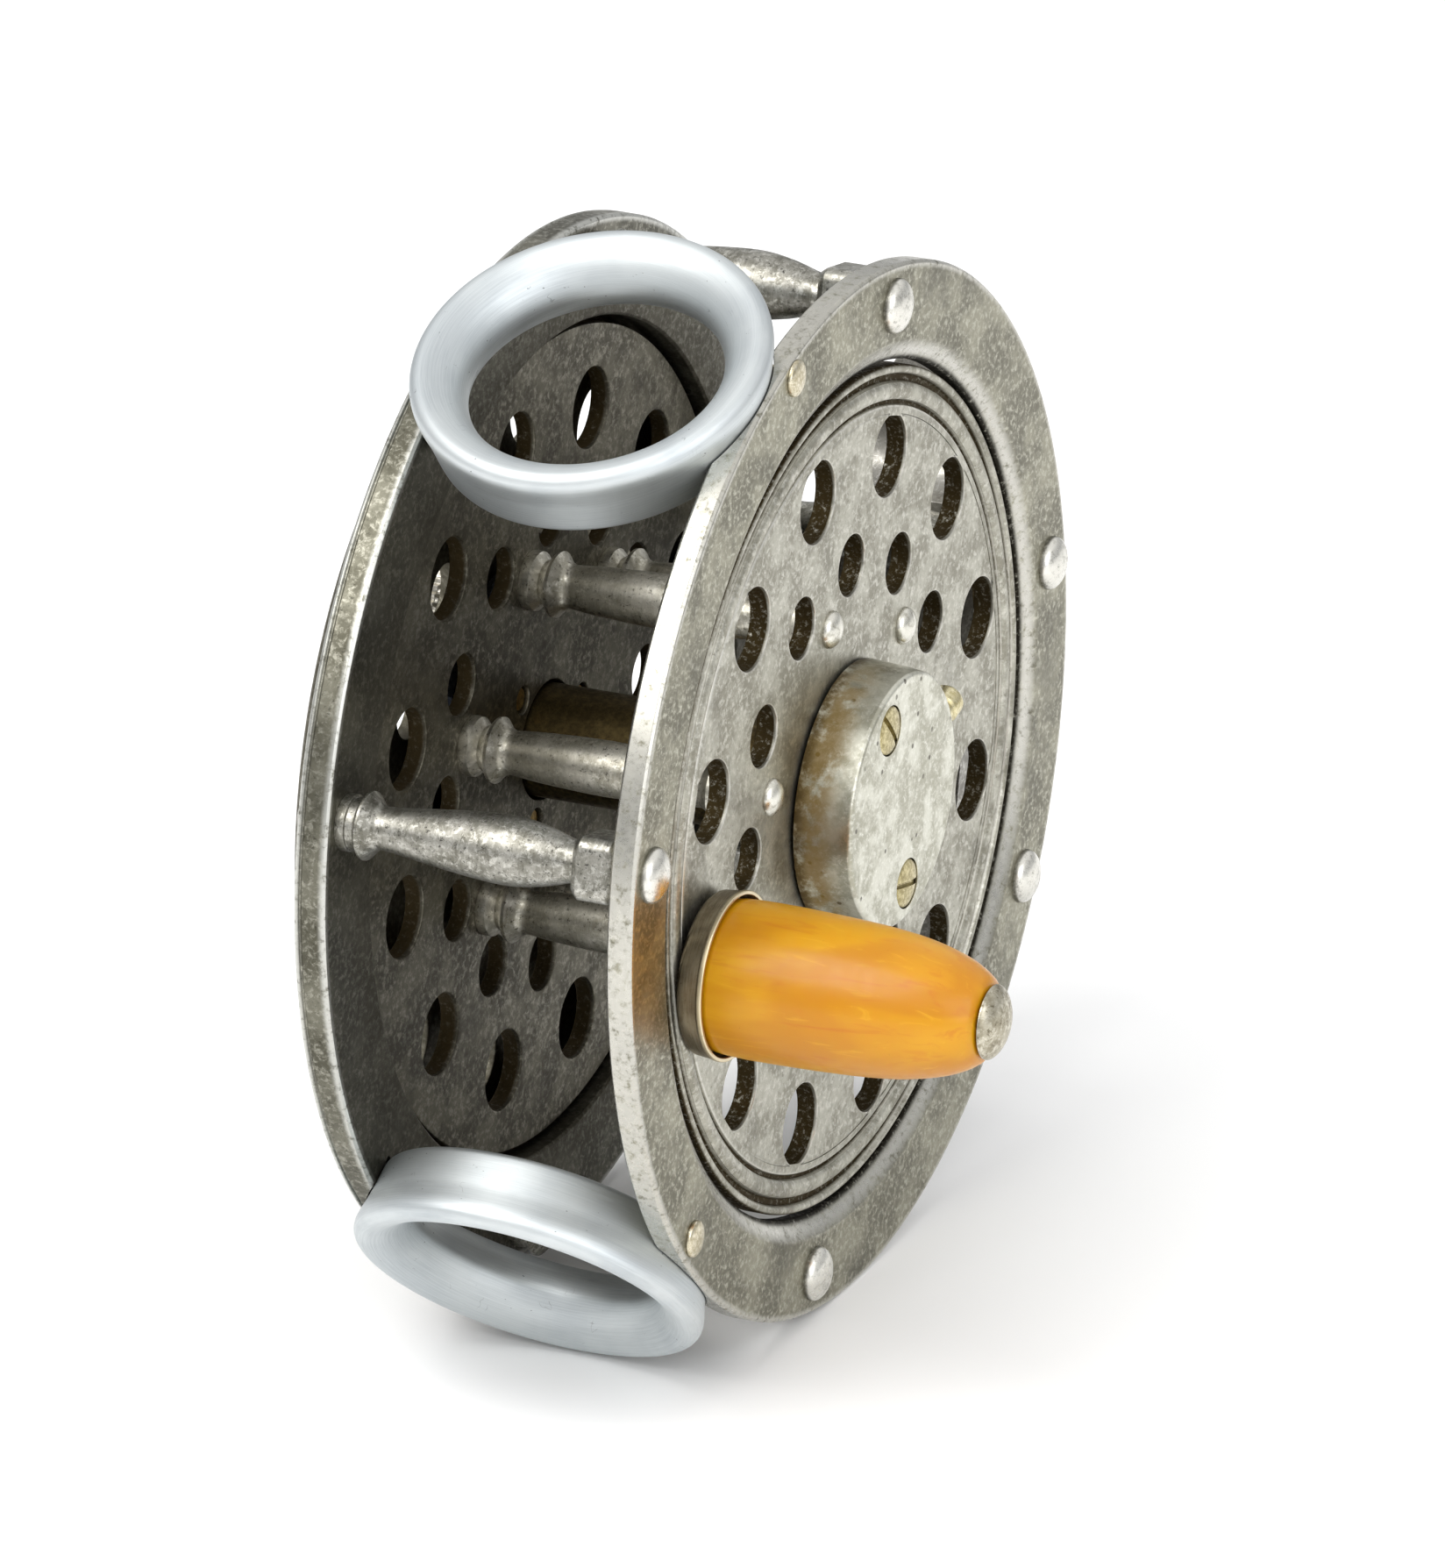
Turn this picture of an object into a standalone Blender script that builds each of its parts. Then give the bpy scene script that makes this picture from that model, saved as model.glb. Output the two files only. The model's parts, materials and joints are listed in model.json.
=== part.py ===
"""A single-action fly reel with two ring line guards, as an assembly of separate pieces.

Metres, +Z up. The spool turns about a horizontal axis along Y, its handle on the -Y side, and the reel
stands on its two rims and its lower line guard, on Z = 0. Everything is placed from one datum on the
spool's axis, in the plane of the front ring's face. Along that axis a "station" is the distance in front
of the datum, so the back of the reel has negative stations. Angles run from +X towards +Z.
"""
import math

import bmesh
import bpy
from mathutils import Matrix, Vector

MM = 0.001
GAP = 0.3 * MM
RUNNING_FIT = 0.05 * MM

# The frame
RIM_RADIUS = 46.0 * MM
AXIS_X = -4.3 * MM
FACE_Y = -6.25 * MM
RING_THICKNESS = 2.3 * MM
RING_BORE = 37.3 * MM
RING_FACE_INNER = 39.1 * MM
PLATE_FRONT = -28.1 * MM
PLATE_RIM_BACK = -31.05 * MM
PLATE_FLOOR = -33.4 * MM
PLATE_BACK = -35.2 * MM
RECESS_RADIUS = 37.2 * MM
DISH_RADIUS = 39.0 * MM
FRAME_MIDDLE = -15.75 * MM
RIM_STEPS = 40

# The perforations, the same two rings of holes in all three plates
HOLES_PER_RING = 12
LARGE_HOLE_CIRCLE = 28.95 * MM
LARGE_HOLE_RADIUS = 3.6 * MM
SMALL_HOLE_CIRCLE = 20.25 * MM
SMALL_HOLE_RADIUS = 2.7 * MM
SPOOL_HOLE_PHASE = 11.3
PLATE_HOLE_PHASE = 19.0

# The pillars of the frame
FOOT_ANGLE = -11.0
PILLAR_CIRCLE = 42.4 * MM
PILLAR_ANGLES = [FOOT_ANGLE + turn for turn in (19.5, 90.5, 180.0, -90.5, -19.5)]
FOOT_PILLARS = (1, 5)
PILLAR_SHANK = 1.2 * MM

# The ring line guards
GUARD_ANGLES = {"upper": 114.7, "lower": 226.0}
GUARD_MIDDLE = -15.5 * MM
GUARD_WALL = 14.9 * MM
GUARD_BOTTOM = 42.1 * MM
GUARD_OUTLINE = [
    (14.9, 43.2), (14.9, 46.05), (15.75, 46.8), (15.95, 47.6), (15.5, 48.7), (14.3, 49.2), (12.9, 48.7),
    (11.6, 47.4), (10.85, 45.9), (10.95, 45.0), (11.6, 43.6), (12.8, 42.5), (14.3, 42.1)]
GUARD_SCREW_SPOTS = {"upper": (44.1, 107.1), "lower": (43.7, 220.0)}
GUARD_SCREW_SHANK = 0.85 * MM
GUARD_SCREW_DEPTH = 2.3 * MM

# The foot, in its own frame: X away from the spool, Z along the rod, Y across it
FOOT_LENGTH = 62.0 * MM
FOOT_WIDTH = 15.0 * MM
FOOT_TIP_WIDTH = 9.0 * MM
FOOT_FACE = 49.6 * MM
FOOT_UNDERSIDE = 47.2 * MM
FOOT_TIP_THICKNESS = 0.9 * MM
FOOT_SADDLE = 43.25 * MM
FOOT_SADDLE_LENGTH = 35.0 * MM
FOOT_SCREW_BOTTOM = 39.6 * MM

# The spool
FLANGE_RADIUS = 36.85 * MM
FLANGE_FACE = -1.05 * MM
FLANGE_BACK = -3.05 * MM
REAR_FLANGE_RADIUS = 36.4 * MM
REAR_FLANGE_FRONT = -29.2 * MM
REAR_FLANGE_BACK = -31.0 * MM
FLANGE_BORE = 5.3 * MM
SPOOL_PILLARS = 6
SPOOL_PILLAR_CIRCLE = 16.3 * MM
SPOOL_PILLAR_PHASE = 101.5
SPOOL_SHANK = 1.1 * MM
HUB_RADIUS = 5.0 * MM
HUB_BACK = -30.3 * MM
HUB_FRONT = 0.4 * MM

# The spindle and what turns or sits on it
SPINDLE_RADIUS = 2.95 * MM
SPINDLE_NOSE_RADIUS = 2.2 * MM
SPINDLE_TAIL_RADIUS = 2.4 * MM
GEAR_TEETH = 36
GEAR_ROOT = 8.6 * MM
GEAR_TIP = 9.5 * MM
GEAR_FRONT = -31.5 * MM
GEAR_BACK = -33.1 * MM
DOGS = 3
DOG_CIRCLE = 7.2 * MM
DOG_RADIUS = 1.0 * MM
DOG_FRONT = -29.6 * MM

# The click and the drag: the pawl's nose stands in a gap of the gear, its pivot outside the gear
NOSE_ANGLE = 20.0
NOSE_REACH = 8.95 * MM
PAWL_PIVOT = (10.9 * MM, 8.5 * MM)
PAWL_HUB = 2.2 * MM
PAWL_POST_RADIUS = 1.2 * MM
PAWL_FRONT = -31.6 * MM
PAWL_BACK = -33.05 * MM
LEAF_CIRCLE = 15.5 * MM
LEAF_THICKNESS = 0.3 * MM
STUD_CIRCLE = 14.0 * MM
STUD_ANGLE = 148.0
STUD_RADIUS = 1.0 * MM
DRAG_CIRCLE = 12.7 * MM
DRAG_ANGLE = 112.0
DRAG_SHAFT = 1.5 * MM
DRAG_TIP = 1.0 * MM
DRAG_CAM_RADIUS = 2.2 * MM
DRAG_CAM_THROW = 0.5 * MM
KNOB_RADIUS = 5.0 * MM
KNOB_BACK = -39.2 * MM

# The hub cap and the latch inside it
CAP_RADIUS = 11.2 * MM
CAP_BASE_RADIUS = 11.6 * MM
CAP_INNER_RADIUS = 10.0 * MM
CAP_FACE = 4.4 * MM
CAP_CEILING = 3.3 * MM
CAP_SCREW_RADIUS = 2.1 * MM
CAP_SCREW_SHANK = 0.9 * MM
CAP_SCREW_CIRCLE = 8.0 * MM
CAP_SCREW_ANGLES = (111.0, -84.0)
CAP_SLOT_ANGLES = (-51.0, -12.0)
LATCH_ANGLE = 14.0
LATCH_STATION = 2.1 * MM
LATCH_BUTTON_RADIUS = 1.5 * MM
LATCH_BUTTON_REACH = 15.4 * MM
LATCH_PLATE_THICKNESS = 0.9 * MM
LATCH_TRAVEL = 1.4 * MM

# The handle
HANDLE_CIRCLE = 29.6 * MM
HANDLE_ANGLE = 190.7
FERRULE_RADIUS = 7.2 * MM
FERRULE_FOOT = -0.5 * MM
FERRULE_RIM = 1.95 * MM
GRIP_BASE = 0.5 * MM
GRIP_END = 24.9 * MM
GRIP_RADIUS = 6.7 * MM
GRIP_BORE = 1.75 * MM
HANDLE_TIP = 26.7 * MM

COLOURS = {
    "aged_silver": ((0.42, 0.41, 0.38, 1.0), 0.42, 1.0),
    "worn_silver": ((0.62, 0.61, 0.58, 1.0), 0.35, 1.0),
    "satin_guard": ((0.66, 0.69, 0.72, 1.0), 0.38, 1.0),
    "nickel": ((0.70, 0.66, 0.55, 1.0), 0.30, 1.0),
    "steel": ((0.45, 0.45, 0.45, 1.0), 0.35, 1.0),
    "brass": ((0.66, 0.50, 0.24, 1.0), 0.32, 1.0),
    "amber": ((0.72, 0.38, 0.05, 1.0), 0.18, 0.0),
}

parts = None
cutters = None


def start_scene():
    """Empties the scene and makes the two collections that the objects go in."""
    global parts, cutters
    for leftover in list(bpy.data.objects):
        bpy.data.objects.remove(leftover, do_unlink=True)
    parts = bpy.data.collections.new("fly_reel")
    cutters = bpy.data.collections.new("fly_reel_cutters")
    bpy.context.scene.collection.children.link(parts)
    bpy.context.scene.collection.children.link(cutters)


def finish_material(name, node):
    """A material of the node's own in one of the reel's finishes."""
    colour, roughness, metallic = COLOURS[name]
    material = bpy.data.materials.new(node + "_" + name)
    material.use_nodes = True
    shader = material.node_tree.nodes["Principled BSDF"]
    shader.inputs["Base Color"].default_value = colour
    shader.inputs["Roughness"].default_value = roughness
    shader.inputs["Metallic"].default_value = metallic
    return material


def polar(radius, angle, depth=0.0):
    """The point at a radius and an angle in degrees round the spool's axis."""
    turn = math.radians(angle)
    return Vector((radius * math.cos(turn), depth, radius * math.sin(turn)))


def empty(name, parent=None, location=(0.0, 0.0, 0.0), rotation=(0.0, 0.0, 0.0)):
    """An empty that pieces hang from."""
    holder = bpy.data.objects.new(name, None)
    parts.objects.link(holder)
    holder.parent = parent
    holder.location = location
    holder.rotation_euler = rotation
    return holder


FORWARD = (math.radians(90.0), 0.0, 0.0)


def place(piece, parent, location=(0.0, 0.0, 0.0), rotation=FORWARD):
    """Hangs a piece on its parent; by default its own +Z points to the front of the reel."""
    piece.parent = parent
    piece.location = location
    piece.rotation_euler = rotation
    return piece


def new_object(name, mesh, finish=None):
    """Links a mesh as a part with its finish, or as a cutter when it has none."""
    piece = bpy.data.objects.new(name, mesh)
    if finish is None:
        cutters.objects.link(piece)
        piece.hide_render = True
        piece.display_type = "WIRE"
    else:
        parts.objects.link(piece)
        mesh.materials.append(finish_material(finish, name))
    return piece


def turned(name, profile, steps, finish=None, closed=False):
    """A turned shape: (radius, height) points down its outer side, swept round Z."""
    mesh = bpy.data.meshes.new(name)
    points = [(radius, 0.0, height) for radius, height in profile]
    edges = [(i, i + 1) for i in range(len(points) - 1)]
    if closed:
        edges.append((len(points) - 1, 0))
    mesh.from_pydata(points, edges, [])
    piece = new_object(name, mesh, finish)
    screw = piece.modifiers.new("Turn", "SCREW")
    screw.axis = "Z"
    screw.angle = math.tau
    screw.steps = steps
    screw.render_steps = steps
    screw.use_merge_vertices = True
    screw.merge_threshold = 1e-5
    return piece


def extruded(name, outline, low, high, finish=None):
    """A flat outline of (x, y) points, filled and given its thickness along Z."""
    curve = bpy.data.curves.new(name + "_outline", "CURVE")
    curve.dimensions = "2D"
    curve.fill_mode = "BOTH"
    curve.extrude = (high - low) / 2
    spline = curve.splines.new("POLY")
    spline.points.add(len(outline) - 1)
    for point, (x, y) in zip(spline.points, outline):
        point.co = (x, y, 0.0, 1.0)
    spline.use_cyclic_u = True
    return meshed(name, curve, finish, Matrix.Translation((0.0, 0.0, (low + high) / 2)))


def wire(name, points, radius, finish):
    """A round wire through the points."""
    curve = bpy.data.curves.new(name + "_path", "CURVE")
    curve.dimensions = "3D"
    curve.bevel_depth = radius
    curve.bevel_resolution = 2
    curve.use_fill_caps = True
    spline = curve.splines.new("POLY")
    spline.points.add(len(points) - 1)
    for point, place_of in zip(spline.points, points):
        point.co = (*place_of, 1.0)
    return meshed(name, curve, finish, Matrix.Identity(4))


def meshed(name, curve, finish, shift):
    """Turns a curve into a closed mesh object and drops the curve."""
    source = bpy.data.objects.new(name + "_curve", curve)
    cutters.objects.link(source)
    bpy.context.view_layer.update()
    evaluated = source.evaluated_get(bpy.context.evaluated_depsgraph_get())
    mesh = bpy.data.meshes.new_from_object(evaluated)
    bpy.data.objects.remove(source, do_unlink=True)
    bpy.data.curves.remove(curve)
    work = bmesh.new()
    work.from_mesh(mesh)
    bmesh.ops.remove_doubles(work, verts=work.verts, dist=1e-6)
    bmesh.ops.transform(work, matrix=shift, verts=work.verts)
    bmesh.ops.recalc_face_normals(work, faces=work.faces)
    work.to_mesh(mesh)
    work.free()
    mesh.materials.clear()
    return new_object(name, mesh, finish)


def box(name, size, centre, finish=None):
    """A rectangular block."""
    mesh = bpy.data.meshes.new(name)
    work = bmesh.new()
    shape = Matrix.Translation(centre) @ Matrix.Diagonal((*size, 1.0))
    bmesh.ops.create_cube(work, size=1.0, matrix=shape)
    work.to_mesh(mesh)
    work.free()
    return new_object(name, mesh, finish)


def drilled(name, centres, radius, low, high, segments=10):
    """One cutter of equal round holes along Z, between two heights."""
    mesh = bpy.data.meshes.new(name)
    work = bmesh.new()
    for x, y in centres:
        bmesh.ops.create_cone(
            work, cap_ends=True, segments=segments, radius1=radius, radius2=radius, depth=high - low,
            matrix=Matrix.Translation((x, y, (low + high) / 2)))
    work.to_mesh(mesh)
    work.free()
    return new_object(name, mesh)


def shape_with(piece, tool, operation):
    """Cuts, joins or keeps the overlap of a piece and a tool."""
    step = piece.modifiers.new(tool.name, "BOOLEAN")
    step.operation = operation
    step.solver = "EXACT"
    step.object = tool
    return piece


def circle_points(radius, count, phase, skip=()):
    """Points spread evenly round a circle, without the skipped ones."""
    turns = [math.radians(phase + 360.0 * i / count) for i in range(count) if i not in skip]
    return [(radius * math.cos(turn), radius * math.sin(turn)) for turn in turns]


def perforate(piece, parent, phase, low, high, skip=()):
    """Drills the two rings of holes through a plate."""
    step = 360.0 / HOLES_PER_RING
    large = circle_points(LARGE_HOLE_CIRCLE, HOLES_PER_RING, phase, skip)
    small = circle_points(SMALL_HOLE_CIRCLE, HOLES_PER_RING, phase + step / 2)
    for label, centres, radius in (("large", large, LARGE_HOLE_RADIUS), ("small", small, SMALL_HOLE_RADIUS)):
        tool = drilled(piece.name + "_" + label + "_holes", centres, radius, low, high)
        shape_with(piece, place(tool, parent), "DIFFERENCE")


def dome(radius, base, height, count=4):
    """A domed head's outline, from its crown down to its rim."""
    points = []
    for i in range(count):
        turn = math.radians(90.0) * i / (count - 1)
        points.append((radius * math.sin(turn), base + height * math.cos(turn)))
    return points


# ---------------------------------------------------------------- frame

def guard_frame(datum, side):
    """An empty at the guard's middle, its +Z pointing out along the guard's axis."""
    angle = GUARD_ANGLES[side]
    turn = (0.0, math.radians(90.0 - angle), 0.0)
    return empty("guard_frame_" + side, datum, (0.0, -GUARD_MIDDLE, 0.0), turn)


def guard_notches(piece, holders):
    """Cuts the round seats of both line guards out of a rim."""
    for side, holder in holders.items():
        tool = drilled(piece.name + "_seat_" + side, [(0.0, 0.0)], GUARD_WALL + GAP, GUARD_BOTTOM - GAP,
                       60.0 * MM, 48)
        shape_with(piece, place(tool, holder, rotation=(0.0, 0.0, 0.0)), "DIFFERENCE")


def guard_screw_spot(side):
    circle, angle = GUARD_SCREW_SPOTS[side]
    return polar(circle * MM, angle)


def guard_screw_points():
    """Where the guard screws stand, seen from the front."""
    spots = [guard_screw_spot(side) for side in GUARD_SCREW_SPOTS]
    return [(spot.x, spot.z) for spot in spots]


def pillar_points():
    """Where the frame pillars stand, seen from the front."""
    spots = [polar(PILLAR_CIRCLE, angle) for angle in PILLAR_ANGLES]
    return [(spot.x, spot.z) for spot in spots]


def drill_rim(piece, datum, low, high):
    """Holes for the pillars' shanks and the guard screws."""
    for label, spots, shank in (("pillar", pillar_points(), PILLAR_SHANK),
                                ("screw", guard_screw_points(), GUARD_SCREW_SHANK)):
        tool = drilled(piece.name + "_" + label + "_holes", spots, shank + GAP, low, high, 10)
        shape_with(piece, place(tool, datum), "DIFFERENCE")


def front_ring(datum, holders):
    edge = 0.6 * MM
    bevel_end = -1.1 * MM
    back = -RING_THICKNESS
    profile = [
        (RIM_RADIUS - edge, 0.0), (RIM_RADIUS, -edge), (RIM_RADIUS, back + edge / 2),
        (RIM_RADIUS - edge / 2, back), (RING_BORE, back), (RING_BORE, bevel_end), (RING_FACE_INNER, 0.0)]
    ring = place(turned("front_ring", profile, RIM_STEPS, "aged_silver", closed=True), datum)
    guard_notches(ring, holders)
    drill_rim(ring, datum, 2 * back, RING_THICKNESS)


def rear_plate(datum, holders):
    edge = 0.4 * MM
    bore = SPINDLE_TAIL_RADIUS + GAP
    profile = [
        (RIM_RADIUS - edge, PLATE_FRONT), (RIM_RADIUS, PLATE_FRONT - edge),
        (RIM_RADIUS, PLATE_RIM_BACK + edge), (RIM_RADIUS - edge, PLATE_RIM_BACK),
        (DISH_RADIUS, PLATE_RIM_BACK - edge), (DISH_RADIUS - edge, PLATE_BACK + edge),
        (DISH_RADIUS - 2 * edge, PLATE_BACK), (bore, PLATE_BACK), (bore, PLATE_FLOOR),
        (RECESS_RADIUS - edge, PLATE_FLOOR), (RECESS_RADIUS, PLATE_FLOOR + edge),
        (RECESS_RADIUS, PLATE_FRONT - edge), (RECESS_RADIUS + edge, PLATE_FRONT)]
    plate = place(turned("rear_plate", profile, RIM_STEPS, "aged_silver", closed=True), datum)
    perforate(plate, datum, PLATE_HOLE_PHASE, PLATE_BACK - 2 * MM, PLATE_FLOOR + 2 * MM)
    guard_notches(plate, holders)
    drill_rim(plate, datum, PLATE_RIM_BACK - 2 * MM, PLATE_FRONT + 2 * MM)
    for label, spot, radius in (
            ("post", pawl_spot(), PAWL_POST_RADIUS + GAP),
            ("stud", polar(STUD_CIRCLE, STUD_ANGLE), STUD_RADIUS + GAP),
            ("drag", polar(DRAG_CIRCLE, DRAG_ANGLE), DRAG_SHAFT + RUNNING_FIT)):
        tool = drilled("rear_plate_" + label + "_hole", [(spot.x, spot.z)], radius,
                       PLATE_BACK - 1 * MM, PLATE_FLOOR + 1 * MM, 16)
        shape_with(plate, place(tool, datum), "DIFFERENCE")


def pillar_profile():
    """A frame pillar down its outer side: front rivet head, neck, swelling, collar, rear head."""
    back = PLATE_FRONT + GAP
    front = -RING_THICKNESS - GAP
    front_head = dome(2.35 * MM, GAP, 1.1 * MM)
    rear_head = [(radius, PLATE_RIM_BACK - GAP - (height - GAP))
                 for radius, height in reversed(dome(2.2 * MM, GAP, 0.9 * MM))]
    body = []
    neck, belly, waist = 1.7 * MM, 2.95 * MM, 1.85 * MM
    start, widest, end = -6.7 * MM, -13.0 * MM, -25.4 * MM
    for i in range(5):
        share = i / 4
        body.append((neck + (belly - neck) * math.sin(share * math.pi / 2) ** 2,
                     start + (widest - start) * share))
    for i in range(1, 5):
        share = i / 4
        body.append((waist + (belly - waist) * math.cos(share * math.pi / 2) ** 2,
                     widest + (end - widest) * share))
    collar = [(2.5 * MM, -25.9 * MM), (2.85 * MM, -26.6 * MM), (2.85 * MM, -27.3 * MM), (2.4 * MM, back)]
    return (front_head + [(PILLAR_SHANK, GAP), (PILLAR_SHANK, front), (2.2 * MM, front),
                          (2.2 * MM, -6.2 * MM)]
            + body + collar + [(PILLAR_SHANK, back), (PILLAR_SHANK, PLATE_RIM_BACK - GAP)] + rear_head)


def frame_pillars(datum):
    """Five turned pillars, each with a square shoulder behind the ring."""
    for number, angle in enumerate(PILLAR_ANGLES, 1):
        name = "frame_pillar_%d" % number
        post = empty(name + "_axis", datum, polar(PILLAR_CIRCLE, angle),
                     (0.0, -math.radians(angle), 0.0))
        pillar = place(turned(name, pillar_profile(), 10, "worn_silver"), post)
        shoulder = box(name + "_shoulder", (5.4 * MM, 5.4 * MM, 3.5 * MM), (0.0, 0.0, -4.4 * MM))
        edges = shoulder.modifiers.new("Edges", "BEVEL")
        edges.width = 0.5 * MM
        edges.segments = 1
        shape_with(pillar, place(shoulder, post), "UNION")
        if number in FOOT_PILLARS:
            drill_foot_screw(pillar, datum, angle)


def line_guards(datum, holders):
    """Two bell-mouth rings, each with a screw through the front ring and one through the plate."""
    profile = [(radius * MM, height * MM) for radius, height in GUARD_OUTLINE]
    for side, holder in holders.items():
        name = "line_guard_" + side
        guard = turned(name, profile, 32, "satin_guard", closed=True)
        place(guard, holder, rotation=(0.0, 0.0, 0.0))
        spot = guard_screw_spot(side)
        front_end = -RING_THICKNESS - GUARD_SCREW_DEPTH
        rear_end = PLATE_FRONT + GUARD_SCREW_DEPTH
        for label, low, high in (("front", front_end - GAP, 2 * MM),
                                 ("rear", PLATE_RIM_BACK - 2 * MM, rear_end + GAP)):
            tool = drilled(name + "_" + label + "_hole", [(spot.x, spot.z)], GUARD_SCREW_SHANK + GAP,
                           low, high, 10)
            shape_with(guard, place(tool, datum), "DIFFERENCE")
        guard_screw("guard_screw_" + side + "_front", datum, spot, 0.0, front_end, 1.0)
        guard_screw("guard_screw_" + side + "_rear", datum, spot, PLATE_RIM_BACK, rear_end, -1.0)


def guard_screw(name, datum, spot, seat, tip, outward):
    """A low round head on a plain shank that ends inside the guard."""
    head = 1.65 * MM
    top = seat + outward * 0.75 * MM
    under = seat + outward * GAP
    profile = [(0.0, top), (head * 0.8, top), (head, top - outward * 0.15 * MM), (head, under),
               (GUARD_SCREW_SHANK, under), (GUARD_SCREW_SHANK, tip), (0.0, tip)]
    if outward < 0:
        profile.reverse()
    place(turned(name, profile, 10, "nickel"), datum, spot)


# ---------------------------------------------------------------- foot

def foot_frame(datum):
    """An empty with +X away from the spool through the foot's middle and +Z along the rod."""
    return empty("foot_frame", datum, (0.0, -FRAME_MIDDLE, 0.0), (0.0, -math.radians(FOOT_ANGLE), 0.0))


def foot_screw_offset():
    """How far along the rod each foot screw stands from the middle of the foot."""
    return PILLAR_CIRCLE * math.sin(math.radians(19.5))


def drill_foot_screw(pillar, datum, angle):
    """The blind hole in a pillar that takes its foot screw."""
    side = math.copysign(1.0, angle - FOOT_ANGLE)
    holder = bpy.data.objects["foot_frame"]
    depth = 10.0 * MM
    tool = drilled(pillar.name + "_screw_hole", [(0.0, 0.0)], 1.0 * MM + GAP, 0.0, depth, 10)
    bottom = Vector((FOOT_SCREW_BOTTOM - GAP, 0.0, side * foot_screw_offset()))
    place(tool, holder, bottom, (0.0, math.radians(90.0), 0.0))
    shape_with(pillar, tool, "DIFFERENCE")


def reel_foot():
    """A foot with a flat seat for the rod, thin tapered ends and a saddle over two pillars."""
    holder = bpy.data.objects["foot_frame"]
    half = FOOT_LENGTH / 2
    saddle = FOOT_SADDLE_LENGTH / 2
    side_view = [
        (FOOT_FACE, -half), (FOOT_FACE, half), (FOOT_FACE - FOOT_TIP_THICKNESS, half),
        (FOOT_UNDERSIDE, saddle + 2 * MM), (FOOT_SADDLE + 0.8 * MM, saddle), (FOOT_SADDLE, saddle - 0.8 * MM),
        (FOOT_SADDLE, 0.8 * MM - saddle), (FOOT_SADDLE + 0.8 * MM, -saddle),
        (FOOT_UNDERSIDE, -saddle - 2 * MM), (FOOT_FACE - FOOT_TIP_THICKNESS, -half)]
    foot = extruded("reel_foot", side_view, -FOOT_WIDTH / 2, FOOT_WIDTH / 2, "nickel")
    place(foot, holder)
    tip = FOOT_TIP_WIDTH / 2
    straight = half - tip
    plan = []
    for end in (1.0, -1.0):
        for i in range(9):
            turn = math.radians(180.0) * i / 8
            plan.append((end * tip * math.cos(turn), end * (straight + tip * math.sin(turn))))
        plan.append((-end * FOOT_WIDTH / 2, end * saddle))
        plan.append((-end * FOOT_WIDTH / 2, -end * saddle))
    outline = extruded("reel_foot_plan", plan, 40.0 * MM, 52.0 * MM)
    place(outline, holder, rotation=(math.radians(90.0), 0.0, math.radians(90.0)))
    shape_with(foot, outline, "INTERSECT")
    for number, side in ((1, 1.0), (2, -1.0)):
        seat = Vector((0.0, 0.0, side * foot_screw_offset()))
        head, shank = 2.1 * MM, 1.0 * MM
        top = FOOT_FACE - 0.15 * MM
        cone = top - (head - shank)
        profile = [(0.0, top), (head, top), (shank, cone), (shank, FOOT_SCREW_BOTTOM),
                   (0.0, FOOT_SCREW_BOTTOM)]
        screw = turned("foot_screw_%d" % number, profile, 16, "nickel")
        slot = box("foot_screw_%d_slot" % number, (0.6 * MM, 6 * MM, 1.0 * MM), (0.0, 0.0, top))
        along = (0.0, math.radians(90.0), 0.0)
        place(screw, holder, seat, along)
        shape_with(screw, place(slot, holder, seat, along), "DIFFERENCE")
        wide = [(0.0, top + 1 * MM), (head + GAP, top + 1 * MM), (head + GAP, top), (shank + GAP, cone),
                (shank + GAP, 38.0 * MM), (0.0, 38.0 * MM)]
        hole = turned("reel_foot_screw_%d_hole" % number, wide, 16)
        shape_with(foot, place(hole, holder, seat, along), "DIFFERENCE")


# ---------------------------------------------------------------- spindle, click and drag

def spindle(datum):
    """The fixed axle: a nose for the latch, a plain bearing, a groove for the clip and a tail."""
    shoulder = -33.15 * MM
    tail = -38.0 * MM
    groove_front, groove_back = -30.5 * MM, -31.35 * MM
    groove = 2.45 * MM
    profile = [
        (0.0, 2.9 * MM), (SPINDLE_NOSE_RADIUS - 0.4 * MM, 2.9 * MM), (SPINDLE_NOSE_RADIUS, 2.4 * MM),
        (SPINDLE_NOSE_RADIUS, 1.1 * MM), (SPINDLE_RADIUS, 0.7 * MM), (SPINDLE_RADIUS, groove_front),
        (groove, groove_front), (groove, groove_back), (SPINDLE_RADIUS, groove_back),
        (SPINDLE_RADIUS, shoulder), (SPINDLE_TAIL_RADIUS, shoulder), (SPINDLE_TAIL_RADIUS, tail), (0.0, tail)]
    place(turned("spindle", profile, 24, "steel"), datum)
    hexagon = drilled("nut_hexagon", [(0.0, 0.0)], 4.6 * MM, -37.6 * MM, PLATE_BACK - GAP, 6)
    nut = new_object("spindle_nut", hexagon.data.copy(), "nickel")
    bpy.data.objects.remove(hexagon, do_unlink=True)
    bore = drilled("spindle_nut_bore", [(0.0, 0.0)], SPINDLE_TAIL_RADIUS + GAP, -39 * MM, -34 * MM, 24)
    shape_with(place(nut, datum), place(bore, datum), "DIFFERENCE")
    ring = [(4.3 * MM, -30.62 * MM), (4.3 * MM, -31.22 * MM), (2.75 * MM, -31.22 * MM),
            (2.75 * MM, -30.62 * MM)]
    clip = place(turned("spindle_clip", ring, 20, "steel", closed=True), datum)
    mouth = box("spindle_clip_mouth", (6 * MM, 3.0 * MM, 4 * MM), (-4.0 * MM, 0.0, -31 * MM))
    shape_with(clip, place(mouth, datum), "DIFFERENCE")


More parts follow.
